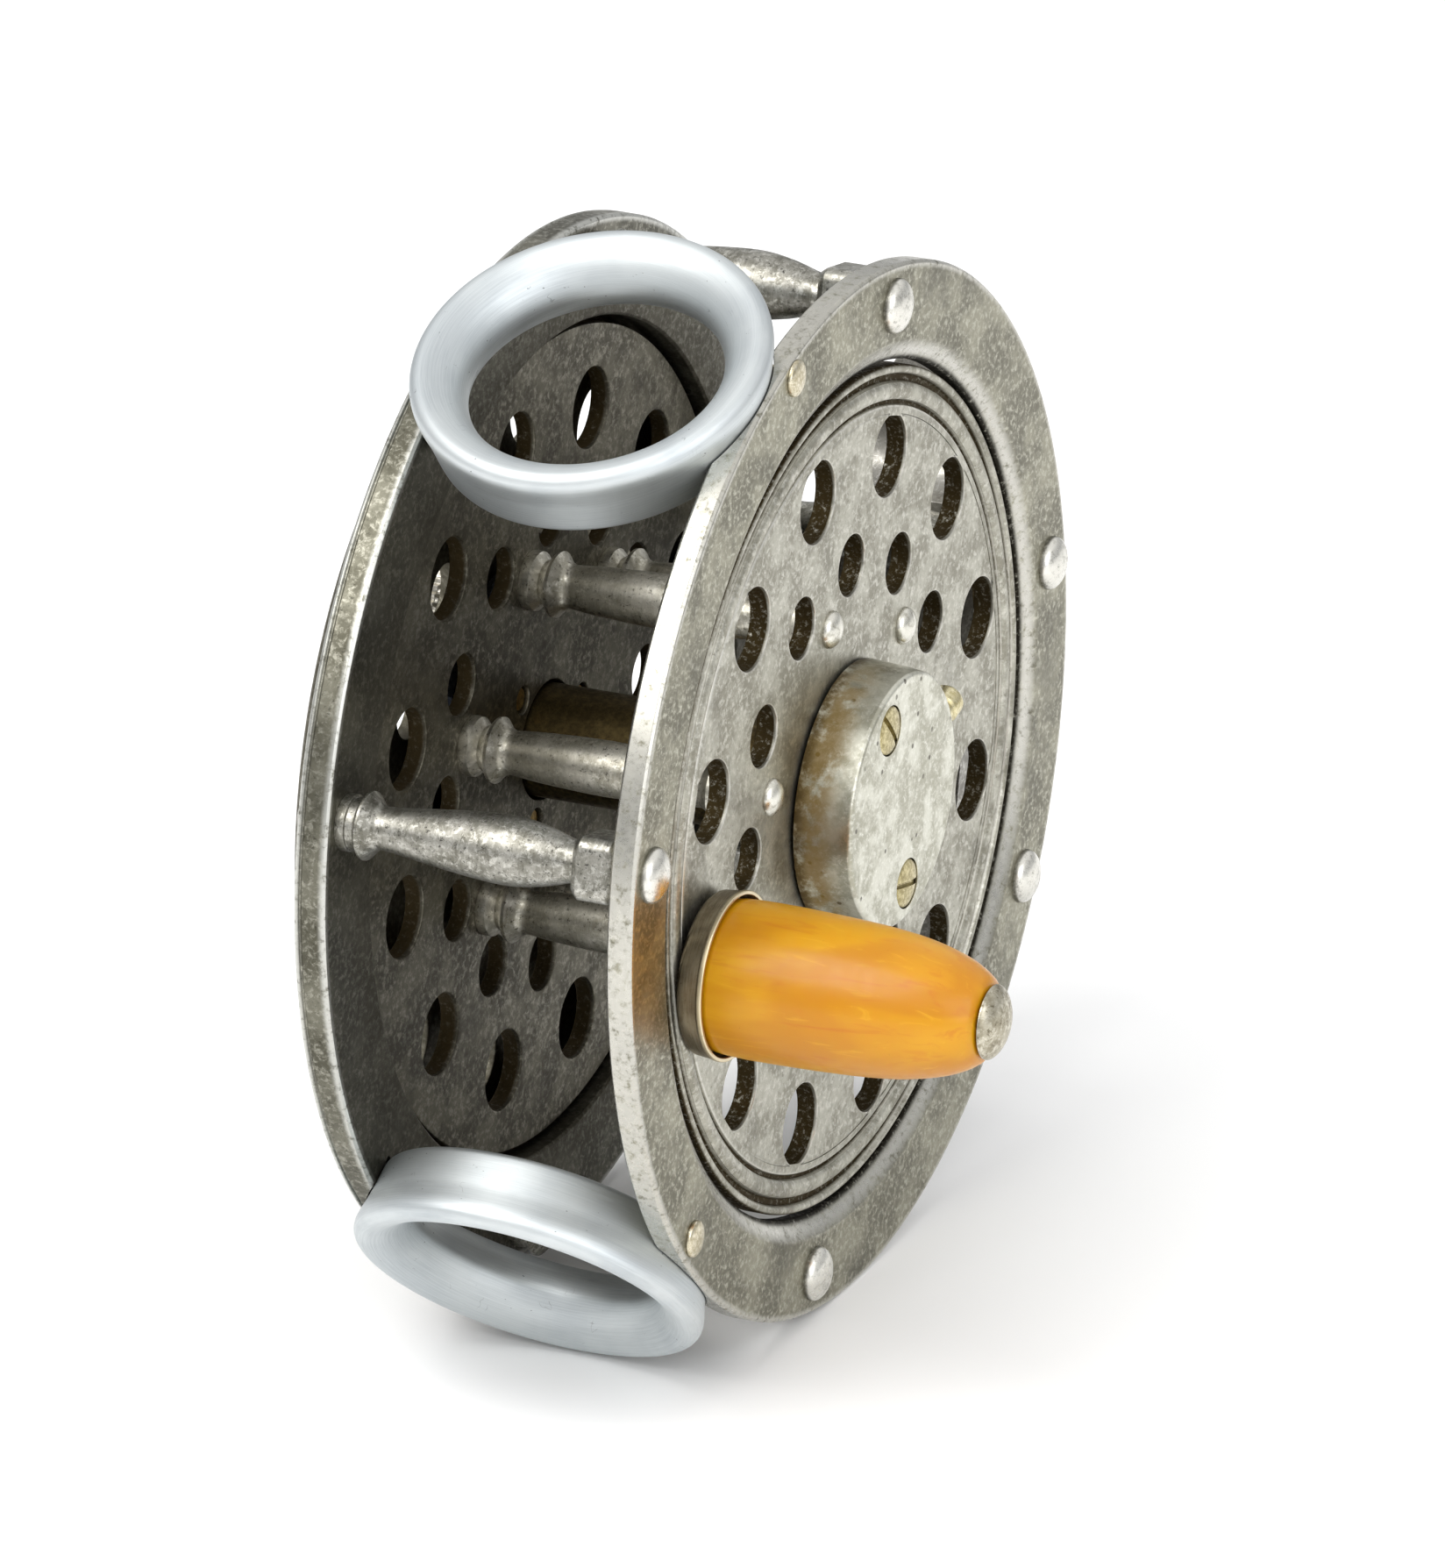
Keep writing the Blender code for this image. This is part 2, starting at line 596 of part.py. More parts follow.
def click_gear(datum):
    """The toothed wheel behind the spool, with three dogs that drive it."""
    outline = []
    for i in range(GEAR_TEETH):
        for share, radius in ((0.0, GEAR_ROOT), (0.5, GEAR_TIP)):
            turn = math.tau * (i + share) / GEAR_TEETH
            outline.append((radius * math.cos(turn), radius * math.sin(turn)))
    axis = empty("gear_axis", datum)
    gear = place(extruded("click_gear", outline, GEAR_BACK, GEAR_FRONT, "brass"), axis)
    bore = drilled("click_gear_bore", [(0.0, 0.0)], SPINDLE_RADIUS + RUNNING_FIT,
                   GEAR_BACK - MM, GEAR_FRONT + MM, 24)
    shape_with(gear, place(bore, axis), "DIFFERENCE")
    dogs = drilled("click_gear_dogs", circle_points(DOG_CIRCLE, DOGS, SPOOL_HOLE_PHASE), DOG_RADIUS,
                   (GEAR_FRONT + GEAR_BACK) / 2, DOG_FRONT, 12)
    shape_with(gear, place(dogs, axis), "UNION")


def arc_points(centre, radius, start, end, count):
    """Points along an arc, its angles in degrees."""
    points = []
    for i in range(count):
        turn = math.radians(start + (end - start) * i / (count - 1))
        points.append((centre[0] + radius * math.cos(turn), centre[1] + radius * math.sin(turn)))
    return points


def strip(points, thickness):
    """The outline of a flat strip that follows a line of points."""
    left, right = [], []
    for i, (x, y) in enumerate(points):
        before = Vector(points[max(i - 1, 0)])
        after = Vector(points[min(i + 1, len(points) - 1)])
        along = (after - before).normalized()
        side = Vector((-along.y, along.x)) * thickness / 2
        left.append((x + side.x, y + side.y))
        right.append((x - side.x, y - side.y))
    return left + right[::-1]


def pawl_spot():
    """The pawl's pivot, seen from the front."""
    away = math.degrees(math.atan2(PAWL_PIVOT[1], PAWL_PIVOT[0]))
    return polar(math.hypot(*PAWL_PIVOT), NOSE_ANGLE + away)


def click_pawl(datum):
    """The pawl on its post, its nose lifting straight out of the gear as it swings."""
    pivot = empty("pawl_axis", datum, pawl_spot(), (0.0, -math.radians(NOSE_ANGLE), 0.0))
    post = [(0.0, -31.3 * MM), (PAWL_POST_RADIUS, -31.3 * MM), (PAWL_POST_RADIUS, PLATE_BACK),
            (0.0, PLATE_BACK)]
    place(turned("pawl_post", post, 16, "steel"), pivot)
    tip = (NOSE_REACH - PAWL_PIVOT[0], -PAWL_PIVOT[1])
    flank, half = 0.75 * MM, 0.5 * MM
    arm, tail_end, tail_half = 0.95 * MM, 4.0 * MM, 1.1 * MM
    outline = arc_points((0.0, 0.0), PAWL_HUB, -55.0, 60.0, 5)
    outline += [(tail_half, tail_end), (-tail_half, tail_end)]
    outline += arc_points((0.0, 0.0), PAWL_HUB, 120.0, 235.0, 5)
    outline += [(-arm, tip[1] + half + 0.15 * MM), (tip[0] + flank, tip[1] + half), tip,
                (tip[0] + flank, tip[1] - half), (-arm, tip[1] - half - 0.3 * MM),
                (0.5 * MM, tip[1] - half - 0.3 * MM)]
    pawl = place(extruded("click_pawl", outline, PAWL_BACK, PAWL_FRONT, "steel"), pivot)
    bore = drilled("click_pawl_bore", [(0.0, 0.0)], PAWL_POST_RADIUS + RUNNING_FIT,
                   PAWL_BACK - MM, PAWL_FRONT + MM, 16)
    shape_with(pawl, place(bore, pivot), "DIFFERENCE")


def click_spring(datum):
    """A leaf hooked round a stud, past the drag's cam, with its free end on the pawl's tail."""
    holder = empty("leaf_frame", datum, rotation=(0.0, -math.radians(NOSE_ANGLE), 0.0))
    bearing = -1.1 * MM - GAP - LEAF_THICKNESS / 2
    free_end = [(PAWL_PIVOT[0] + bearing, PAWL_PIVOT[1] + 2.4 * MM),
                (PAWL_PIVOT[0] + bearing, PAWL_PIVOT[1] + 4.0 * MM)]
    stud = STUD_ANGLE - NOSE_ANGLE
    along = arc_points((0.0, 0.0), LEAF_CIRCLE, 60.0, stud, 10)
    centre = arc_points((0.0, 0.0), STUD_CIRCLE, stud, stud, 2)[0]
    hook = arc_points(centre, LEAF_CIRCLE - STUD_CIRCLE, stud, stud + 260.0, 11)[1:]
    outline = strip(free_end + along + hook, LEAF_THICKNESS)
    place(extruded("click_spring", outline, PAWL_BACK, PAWL_FRONT - GAP, "steel"), holder)
    post = [(0.0, -31.4 * MM), (STUD_RADIUS, -31.4 * MM), (STUD_RADIUS, PLATE_BACK), (0.0, PLATE_BACK)]
    place(turned("spring_stud", post, 14, "steel"), holder, (centre[0], 0.0, centre[1]))


def drag(datum):
    """The drag's knurled knob behind the plate, and the eccentric cam on the end of its shaft."""
    axis = empty("drag_axis", datum, polar(DRAG_CIRCLE, DRAG_ANGLE), (0.0, -math.radians(DRAG_ANGLE), 0.0))
    face = PLATE_BACK - GAP
    knurl = []
    for i in range(40):
        radius = KNOB_RADIUS if i % 2 else KNOB_RADIUS - 0.3 * MM
        knurl.append((radius * math.cos(math.tau * i / 40), radius * math.sin(math.tau * i / 40)))
    knob = place(extruded("drag_knob", knurl, KNOB_BACK, face, "nickel"), axis)
    step = PLATE_FLOOR + 0.05 * MM
    shaft = [(0.0, PAWL_FRONT), (DRAG_TIP, PAWL_FRONT), (DRAG_TIP, step), (DRAG_SHAFT, step),
             (DRAG_SHAFT, face - MM), (0.0, face - MM)]
    shape_with(knob, place(turned("drag_knob_shaft", shaft, 16), axis), "UNION")
    disc = arc_points((-DRAG_CAM_THROW, 0.0), DRAG_CAM_RADIUS, 0.0, 342.0, 20)
    cam = place(extruded("drag_cam", disc, PAWL_BACK, PAWL_FRONT - 0.1 * MM, "brass"), axis)
    bore = drilled("drag_cam_bore", [(0.0, 0.0)], DRAG_TIP + GAP, PAWL_BACK - MM, PAWL_FRONT + MM, 16)
    shape_with(cam, place(bore, axis), "DIFFERENCE")


# ---------------------------------------------------------------- spool

def front_flange(axis):
    back, face = FLANGE_BACK, FLANGE_FACE
    rim = FLANGE_RADIUS
    profile = [
        (FLANGE_BORE, face), (rim - 3.6 * MM, face), (rim - 3.3 * MM, -1.4 * MM), (rim - 2.9 * MM, -0.9 * MM),
        (rim - 2.3 * MM, -0.8 * MM), (rim - 1.5 * MM, -1.0 * MM), (rim - 1.1 * MM, -1.5 * MM),
        (rim - 0.7 * MM, -0.95 * MM), (rim, -1.2 * MM), (rim, back), (FLANGE_BORE, back)]
    flange = place(turned("spool_front_flange", profile, RIM_STEPS, "worn_silver", closed=True), axis)
    perforate(flange, axis, SPOOL_HOLE_PHASE, -5 * MM, 1 * MM, skip=(6,))
    drill_flange(flange, axis)
    spots = [polar(CAP_SCREW_CIRCLE, angle) for angle in CAP_SCREW_ANGLES]
    for label, centres, radius in (
            ("cap_screw", [(spot.x, spot.z) for spot in spots], CAP_SCREW_SHANK + GAP),
            ("handle", circle_points(HANDLE_CIRCLE, 1, HANDLE_ANGLE), GRIP_BORE - RUNNING_FIT + GAP)):
        tool = drilled(flange.name + "_" + label + "_holes", centres, radius, -5 * MM, 1 * MM)
        shape_with(flange, place(tool, axis), "DIFFERENCE")


def rear_flange(axis):
    rim = REAR_FLANGE_RADIUS
    edge = 0.4 * MM
    profile = [
        (FLANGE_BORE, REAR_FLANGE_FRONT), (rim - edge, REAR_FLANGE_FRONT), (rim, REAR_FLANGE_FRONT - edge),
        (rim, REAR_FLANGE_BACK + edge), (rim - edge, REAR_FLANGE_BACK), (FLANGE_BORE, REAR_FLANGE_BACK)]
    flange = place(turned("spool_rear_flange", profile, RIM_STEPS, "aged_silver", closed=True), axis)
    perforate(flange, axis, SPOOL_HOLE_PHASE, -33 * MM, -27 * MM)
    drill_flange(flange, axis)
    tool = drilled(flange.name + "_dog_holes", circle_points(DOG_CIRCLE, DOGS, SPOOL_HOLE_PHASE),
                   DOG_RADIUS + GAP, -33 * MM, -27 * MM)
    shape_with(flange, place(tool, axis), "DIFFERENCE")


def drill_flange(flange, axis):
    """Holes for the ends of the spool's pillars."""
    centres = circle_points(SPOOL_PILLAR_CIRCLE, SPOOL_PILLARS, SPOOL_PILLAR_PHASE)
    tool = drilled(flange.name + "_pillar_holes", centres, SPOOL_SHANK + GAP, -33 * MM, 1 * MM, 10)
    shape_with(flange, place(tool, axis), "DIFFERENCE")


def spool_pillars(axis):
    """Six turned pillars between the flanges, riveted over at the front."""
    front = FLANGE_BACK - GAP
    back = REAR_FLANGE_FRONT + GAP
    foot, bead, neck, middle = 2.6 * MM, 2.9 * MM, 1.9 * MM, 2.4 * MM
    end = [(foot, 0.0), (foot, 1.0 * MM), (neck, 1.6 * MM), (bead, 2.6 * MM), (neck, 3.7 * MM)]
    profile = dome(1.6 * MM, FLANGE_FACE + GAP, 0.7 * MM)
    profile += [(SPOOL_SHANK, FLANGE_FACE + GAP), (SPOOL_SHANK, front)]
    profile += [(radius, front - height) for radius, height in end]
    profile += [(middle, (front + back) / 2)]
    profile += [(radius, back + height) for radius, height in reversed(end)]
    profile += [(SPOOL_SHANK, back), (SPOOL_SHANK, REAR_FLANGE_BACK + 0.1 * MM),
                (0.0, REAR_FLANGE_BACK + 0.1 * MM)]
    centres = circle_points(SPOOL_PILLAR_CIRCLE, SPOOL_PILLARS, SPOOL_PILLAR_PHASE)
    for number, (x, z) in enumerate(centres, 1):
        place(turned("spool_pillar_%d" % number, profile, 8, "worn_silver"), axis, (x, 0.0, z))


def spool_hub(axis):
    bore = SPINDLE_RADIUS + RUNNING_FIT
    profile = [(bore, HUB_FRONT), (HUB_RADIUS - 0.4 * MM, HUB_FRONT), (HUB_RADIUS, HUB_FRONT - 0.4 * MM),
               (HUB_RADIUS, HUB_BACK), (bore, HUB_BACK)]
    place(turned("spool_hub", profile, 24, "brass", closed=True), axis)


def hub_cap(axis):
    """A shallow round cap over the latch, with two sunk screws and a hole for the latch's button."""
    base = FLANGE_FACE + GAP
    profile = [(0.0, CAP_FACE), (CAP_RADIUS - 0.6 * MM, CAP_FACE),
               (CAP_RADIUS - 0.1 * MM, CAP_FACE - 0.4 * MM),
               (CAP_BASE_RADIUS, base), (CAP_INNER_RADIUS, base), (CAP_INNER_RADIUS, CAP_CEILING),
               (0.0, CAP_CEILING)]
    cap = place(turned("hub_cap", profile, 32, "worn_silver"), axis)
    under = CAP_FACE - 0.4 * MM
    for number, (angle, slot_angle) in enumerate(zip(CAP_SCREW_ANGLES, CAP_SLOT_ANGLES), 1):
        name = "cap_screw_%d" % number
        spot = polar(CAP_SCREW_CIRCLE, angle)
        top = CAP_FACE + 0.2 * MM
        head = CAP_SCREW_RADIUS
        wide = [(0.0, top + MM), (head + GAP, top + MM), (head + GAP, under - GAP),
                (CAP_SCREW_SHANK + GAP, under - GAP), (CAP_SCREW_SHANK + GAP, -2 * MM), (0.0, -2 * MM)]
        hole = turned(name + "_hole", wide, 16)
        shape_with(cap, place(hole, axis, spot), "DIFFERENCE")
        profile = [(0.0, top + 0.1 * MM), (head - 0.3 * MM, top), (head, top - 0.2 * MM), (head, under),
                   (CAP_SCREW_SHANK, under), (CAP_SCREW_SHANK, FLANGE_BACK), (0.0, FLANGE_BACK)]
        screw = place(turned(name, profile, 16, "nickel"), axis, spot)
        slot = box(name + "_slot", (6 * MM, 0.5 * MM, MM), (0.0, 0.0, top + 0.05 * MM))
        turn = Matrix.Rotation(math.radians(slot_angle), 4, "Z")
        slot.data.transform(turn)
        shape_with(screw, place(slot, axis, spot), "DIFFERENCE")
    pocket = drilled("hub_cap_button_hole", [(0.0, 0.0)], LATCH_BUTTON_RADIUS + 0.35 * MM, 7.9 * MM,
                     14 * MM, 16)
    holder = bpy.data.objects["latch_axis"]
    shape_with(cap, place(pocket, holder, rotation=(0.0, math.radians(90.0), 0.0)), "DIFFERENCE")


def latch(axis):
    """The sliding latch plate with its button, its spring behind it; +X runs out along the button."""
    holder = empty("latch_axis", axis, (0.0, -LATCH_STATION, 0.0), (0.0, -math.radians(LATCH_ANGLE), 0.0))
    tail, side, front = 6.0 * MM, 5.0 * MM, 7.2 * MM
    root = 10.3 * MM
    neck = 9.0 * MM
    outline = [(-tail, -side), (front, -side), (neck, -LATCH_BUTTON_RADIUS), (root, -LATCH_BUTTON_RADIUS),
               (root, LATCH_BUTTON_RADIUS), (neck, LATCH_BUTTON_RADIUS), (front, side), (-tail, side)]
    half = LATCH_PLATE_THICKNESS / 2
    plate = place(extruded("latch_button", outline, -half, half, "nickel"), holder)
    reach = LATCH_BUTTON_REACH
    round_end = [(0.0, reach), (LATCH_BUTTON_RADIUS - 0.4 * MM, reach),
                 (LATCH_BUTTON_RADIUS, reach - 0.4 * MM),
                 (LATCH_BUTTON_RADIUS, root - 0.7 * MM), (0.0, root - 0.7 * MM)]
    button = place(turned("latch_button_end", round_end, 16), holder, rotation=(0.0, math.radians(90.0), 0.0))
    shape_with(plate, button, "UNION")
    eye = drilled("latch_button_eye", [(0.0, 0.0)], SPINDLE_NOSE_RADIUS + GAP + LATCH_TRAVEL, -MM, MM, 20)
    shape_with(plate, place(eye, holder), "DIFFERENCE")
    turns, coil = 3.0, 0.85 * MM
    near, far = tail + GAP + 0.2 * MM, CAP_INNER_RADIUS - 0.55 * MM
    points = []
    count = int(turns * 6) + 1
    for i in range(count):
        turn = math.tau * turns * i / (count - 1)
        points.append((-near - (far - near) * i / (count - 1), coil * math.cos(turn), coil * math.sin(turn)))
    spring = wire("latch_spring", points, 0.18 * MM, "steel")
    place(spring, holder, rotation=(0.0, 0.0, 0.0))


def handle(axis):
    """The turned grip that spins on a rivet, its foot in a shallow metal cup."""
    holder = empty("handle_axis", axis, polar(HANDLE_CIRCLE, HANDLE_ANGLE))
    shank = GRIP_BORE - RUNNING_FIT
    inner = FERRULE_RADIUS - 0.4 * MM
    floor = GRIP_BASE - GAP
    cup = [(inner, FERRULE_RIM), (FERRULE_RADIUS, FERRULE_RIM),
           (FERRULE_RADIUS + 0.1 * MM, FERRULE_RIM - 0.3 * MM),
           (FERRULE_RADIUS - 0.15 * MM, FERRULE_FOOT + 0.2 * MM), (FERRULE_RADIUS - 0.4 * MM, FERRULE_FOOT),
           (shank + GAP, FERRULE_FOOT), (shank + GAP, floor), (inner, floor)]
    place(turned("handle_ferrule", cup, 28, "nickel", closed=True), holder)
    grip = [(GRIP_BORE, GRIP_END), (3.4 * MM, GRIP_END), (4.1 * MM, 24.1 * MM)]
    for i in range(7):
        share = i / 6
        taper = 1.0 - (1.0 - share) ** 2
        grip.append((4.8 * MM + (GRIP_RADIUS - 0.05 * MM - 4.8 * MM) * taper, 23.0 * MM - 13.0 * MM * share))
    grip += [(GRIP_RADIUS, 4.0 * MM), (GRIP_RADIUS - 0.15 * MM, FERRULE_RIM), (inner - GAP, GRIP_BASE),
             (GRIP_BORE, GRIP_BASE)]
    place(turned("handle_grip", grip, 24, "amber", closed=True), holder)
    seat = GRIP_END + GAP
    back = FLANGE_BACK - GAP
    rivet = dome(3.25 * MM, seat, HANDLE_TIP - seat, 5)
    rivet += [(shank, seat), (shank, back), (2.8 * MM, back), (2.8 * MM, back - 0.6 * MM),
              (2.3 * MM, back - 1.0 * MM), (0.0, back - 1.0 * MM)]
    place(turned("handle_rivet", rivet, 24, "nickel"), holder)


def build():
    start_scene()
    datum = empty("datum", None, (AXIS_X, FACE_Y, RIM_RADIUS))
    holders = {side: guard_frame(datum, side) for side in GUARD_ANGLES}
    foot_frame(datum)
    rear_plate(datum, holders)
    front_ring(datum, holders)
    frame_pillars(datum)
    line_guards(datum, holders)
    reel_foot()
    spindle(datum)
    click_gear(datum)
    click_pawl(datum)
    click_spring(datum)
    drag(datum)
    spool = empty("spool_axis", datum)
    latch(spool)
    hub_cap(spool)
    front_flange(spool)
    rear_flange(spool)
    spool_pillars(spool)
    spool_hub(spool)
    handle(spool)
    bpy.context.view_layer.update()


build()
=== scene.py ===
import json
import math

import bmesh
import bpy
from mathutils import Matrix, Vector


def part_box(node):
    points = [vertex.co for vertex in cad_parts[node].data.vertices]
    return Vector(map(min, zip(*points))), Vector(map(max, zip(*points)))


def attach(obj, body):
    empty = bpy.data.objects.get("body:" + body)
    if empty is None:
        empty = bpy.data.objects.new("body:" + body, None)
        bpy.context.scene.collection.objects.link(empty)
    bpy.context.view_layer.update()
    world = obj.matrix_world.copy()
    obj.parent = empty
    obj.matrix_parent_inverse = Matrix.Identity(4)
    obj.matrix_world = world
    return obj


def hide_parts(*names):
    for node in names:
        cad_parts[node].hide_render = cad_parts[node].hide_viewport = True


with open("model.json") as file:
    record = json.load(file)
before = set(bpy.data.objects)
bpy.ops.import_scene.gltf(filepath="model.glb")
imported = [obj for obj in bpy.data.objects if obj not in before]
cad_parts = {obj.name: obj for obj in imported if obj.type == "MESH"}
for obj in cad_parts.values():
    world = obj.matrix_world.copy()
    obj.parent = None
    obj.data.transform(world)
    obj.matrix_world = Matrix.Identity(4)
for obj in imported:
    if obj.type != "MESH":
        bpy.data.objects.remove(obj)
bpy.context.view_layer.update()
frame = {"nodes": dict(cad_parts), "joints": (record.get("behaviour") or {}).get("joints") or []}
MM = 0.001

# ------------------------------------------------------------------ places, from the CAD boxes

ring_low, ring_high = (Vector(c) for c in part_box("front_ring"))
DATUM = Vector(((ring_low.x + ring_high.x) / 2, ring_low.y, (ring_low.z + ring_high.z) / 2))
JOINTS = {j["name"]: j for j in frame["joints"]}
HANDLE = Vector(JOINTS["handle_spin"]["pos_m"])
KNOB = Vector(JOINTS["drag_turn"]["pos_m"])
FORWARD = Matrix.Rotation(math.radians(90), 4, "X")

# ------------------------------------------------------------------ dimensions, in millimetres and degrees

# A station is a distance along the spool's axis, 0 at the ring's front face and negative behind it.
# Angles go round that axis, from +X towards +Z.

FRAME_RADIUS = 46.0
RING_BACK = -2.3
RING_BORE = 37.3
PLATE_FRONT = -28.1
PLATE_RIM_BACK = -31.05
PLATE_FLOOR = -33.4
PLATE_BACK = -35.2
DISH_RADIUS = 34.0
FRAME_MIDDLE = -15.75

PILLAR_CIRCLE = 42.4
PILLAR_TURNS = (19.5, 90.5, 180.0, -90.5, -19.5)

# A guard's outline is (radius, distance from the spool's axis), and a screw's spot is (radius, angle).
GUARD_ANGLES = {"upper": 114.7, "lower": 226.0}
GUARD_SCREW_SPOTS = {"upper": (44.1, 107.1), "lower": (43.7, 220.0)}
GUARD_MIDDLE = -15.5
GUARD_BOTTOM = 42.1
GUARD_OUTLINE = [
    (14.52, 43.1), (14.68, 44.0), (14.84, 44.9), (15.0, 45.8), (15.2, 46.6), (15.38, 47.3), (15.46, 47.9),
    (15.36, 48.45), (15.0, 48.9), (14.4, 49.12), (13.5, 48.9), (12.4, 48.2), (11.5, 47.15), (10.98, 45.95),
    (10.98, 45.0), (11.45, 43.9), (12.3, 42.95), (13.2, 42.35), (13.9, 42.2), (14.35, 42.5), (14.52, 43.1)]

FOOT_ANGLE = -11.0
FOOT_FACE = 49.6
FOOT_EDGE = 48.8
FOOT_SADDLE = 43.3
FOOT_HALF_LENGTH = 31.0
FOOT_HALF_WIDTH = 7.5
FOOT_SCREW_SPACING = 14.15

# A row is (distance of its holes, their radius, its turn, points round a hole). The handle takes the
# place of one hole of the outer row.
HOLES_PER_ROW = 12
HOLE_ROWS = ((28.95, 3.6, 0, 44), (20.25, 2.7, 15, 36))
SPOOL_HOLE_PHASE = 11.5
PLATE_HOLE_PHASE = 19.0
HANDLE_HOLE = 6

FLANGE_FACE = -1.05
FLANGE_BACK = -3.05
REAR_FLANGE_FACE = -29.2
REAR_FLANGE_BACK = -31.0
FLANGE_BORE = 5.3
SPOOL_PILLARS = 6
SPOOL_PILLAR_CIRCLE = 16.3
SPOOL_PILLAR_PHASE = 101.5

HUB_RADIUS = 5.0
SPINDLE_RADIUS = 2.95
THREAD_RADIUS = 2.4
NUT_HALF_WIDTH = 3.95

CAP_FACE = 4.4
CAP_CEILING = 3.3
CAP_INNER_RADIUS = 10.0
CAP_SCREW_CIRCLE = 8.0
# A cap screw is (its angle, its slot's angle).
CAP_SCREWS = ((111.0, -51.0), (-84.0, -12.0))
LATCH_ANGLE = 14.0
LATCH_STATION = 2.1

GRIP_BORE = 1.75
GRIP_BASE = 0.5


def reel(x=0.0, z=0.0, station=0.0, angle=0.0):
    """A frame on the spool's axis or beside it, its Z towards the front, turned about the axis."""
    place = Matrix.Translation(DATUM + Vector((x, -station, z)) * MM)
    return place @ FORWARD @ Matrix.Rotation(math.radians(angle), 4, "Z")


def polar(radius, angle, station=0.0):
    """A frame like reel's, at a radius and angle, its X pointing away from the axis."""
    turn = math.radians(angle)
    return reel(radius * math.cos(turn), radius * math.sin(turn), station, angle)


def outward(angle, station=FRAME_MIDDLE):
    """A frame whose Z points away from the spool's axis at an angle."""
    return (Matrix.Translation(DATUM + Vector((0, -station, 0)) * MM)
            @ Matrix.Rotation(math.radians(90 - angle), 4, "Y"))


# ------------------------------------------------------------------ shapes

def rounded(points, closed=True, count=5):
    """A profile of corners (radius, height), each rounded where it has a fillet as a third number."""
    out = []
    total = len(points)
    for i, p in enumerate(points):
        here = Vector(p[:2])
        fillet = p[2] if len(p) > 2 else 0
        if not fillet or (not closed and i in (0, total - 1)):
            out.append(tuple(here))
            continue
        back = Vector(points[i - 1][:2]) - here
        ahead = Vector(points[(i + 1) % total][:2]) - here
        room = min(back.length, ahead.length) * 0.48
        back.normalize()
        ahead.normalize()
        half = math.acos(max(-1, min(1, back.dot(ahead)))) / 2
        if half > math.radians(88):
            out.append(tuple(here))
            continue
        reach = min(fillet / math.tan(half), room)
        radius = reach * math.tan(half)
        centre = here + (back + ahead).normalized() * (radius / math.sin(half))
        start = here + back * reach - centre
        end = here + ahead * reach - centre
        sweep = start.angle_signed(end)
        for k in range(count + 1):
            turn = -sweep * k / count
            c, s = math.cos(turn), math.sin(turn)
            out.append((centre.x + start.x * c - start.y * s, centre.y + start.x * s + start.y * c))
    return out


def smooth_line(points, count=6):
    """A Catmull-Rom line through the points."""
    p = [Vector(q) for q in points]
    p = [2 * p[0] - p[1]] + p + [2 * p[-1] - p[-2]]
    out = []
    for i in range(1, len(p) - 2):
        for k in range(count):
            t = k / count
            out.append(tuple(0.5 * (2 * p[i] + (p[i + 1] - p[i - 1]) * t
                                    + (2 * p[i - 1] - 5 * p[i] + 4 * p[i + 1] - p[i + 2]) * t * t
                                    + (3 * p[i] - p[i - 1] - 3 * p[i + 1] + p[i + 2]) * t ** 3)))
    out.append(tuple(p[-2]))
    return out


def add_lathe(bm, profile, steps=96, closed=False, move=None, wobble=None):
    """Sweeps a profile round Z. An end at radius 0 closes on the axis.

    wobble, if any, is a function of radius, turn and height that gives the true radius.
    """
    rings = []
    for radius, height in profile:
        if radius < 1e-6:
            rings.append([bm.verts.new((0, 0, height * MM))])
            continue
        ring = []
        for i in range(steps):
            turn = math.tau * i / steps
            r = radius if wobble is None else wobble(radius, turn, height)
            ring.append(bm.verts.new((r * math.cos(turn) * MM, r * math.sin(turn) * MM, height * MM)))
        rings.append(ring)
    pairs = list(zip(rings, rings[1:]))
    if closed:
        pairs.append((rings[-1], rings[0]))
    made = []
    for a, b in pairs:
        if len(a) == 1 and len(b) == 1:
            continue
        for i in range(steps):
            j = (i + 1) % steps
            if len(a) == 1:
                made.append(bm.faces.new((a[0], b[i], b[j])))
            elif len(b) == 1:
                made.append(bm.faces.new((a[i], b[0], a[j])))
            else:
                made.append(bm.faces.new((a[i], b[i], b[j], a[j])))
    bmesh.ops.recalc_face_normals(bm, faces=made)
    if move is not None:
        bmesh.ops.transform(bm, matrix=move, verts=[v for ring in rings for v in ring])
    return bm


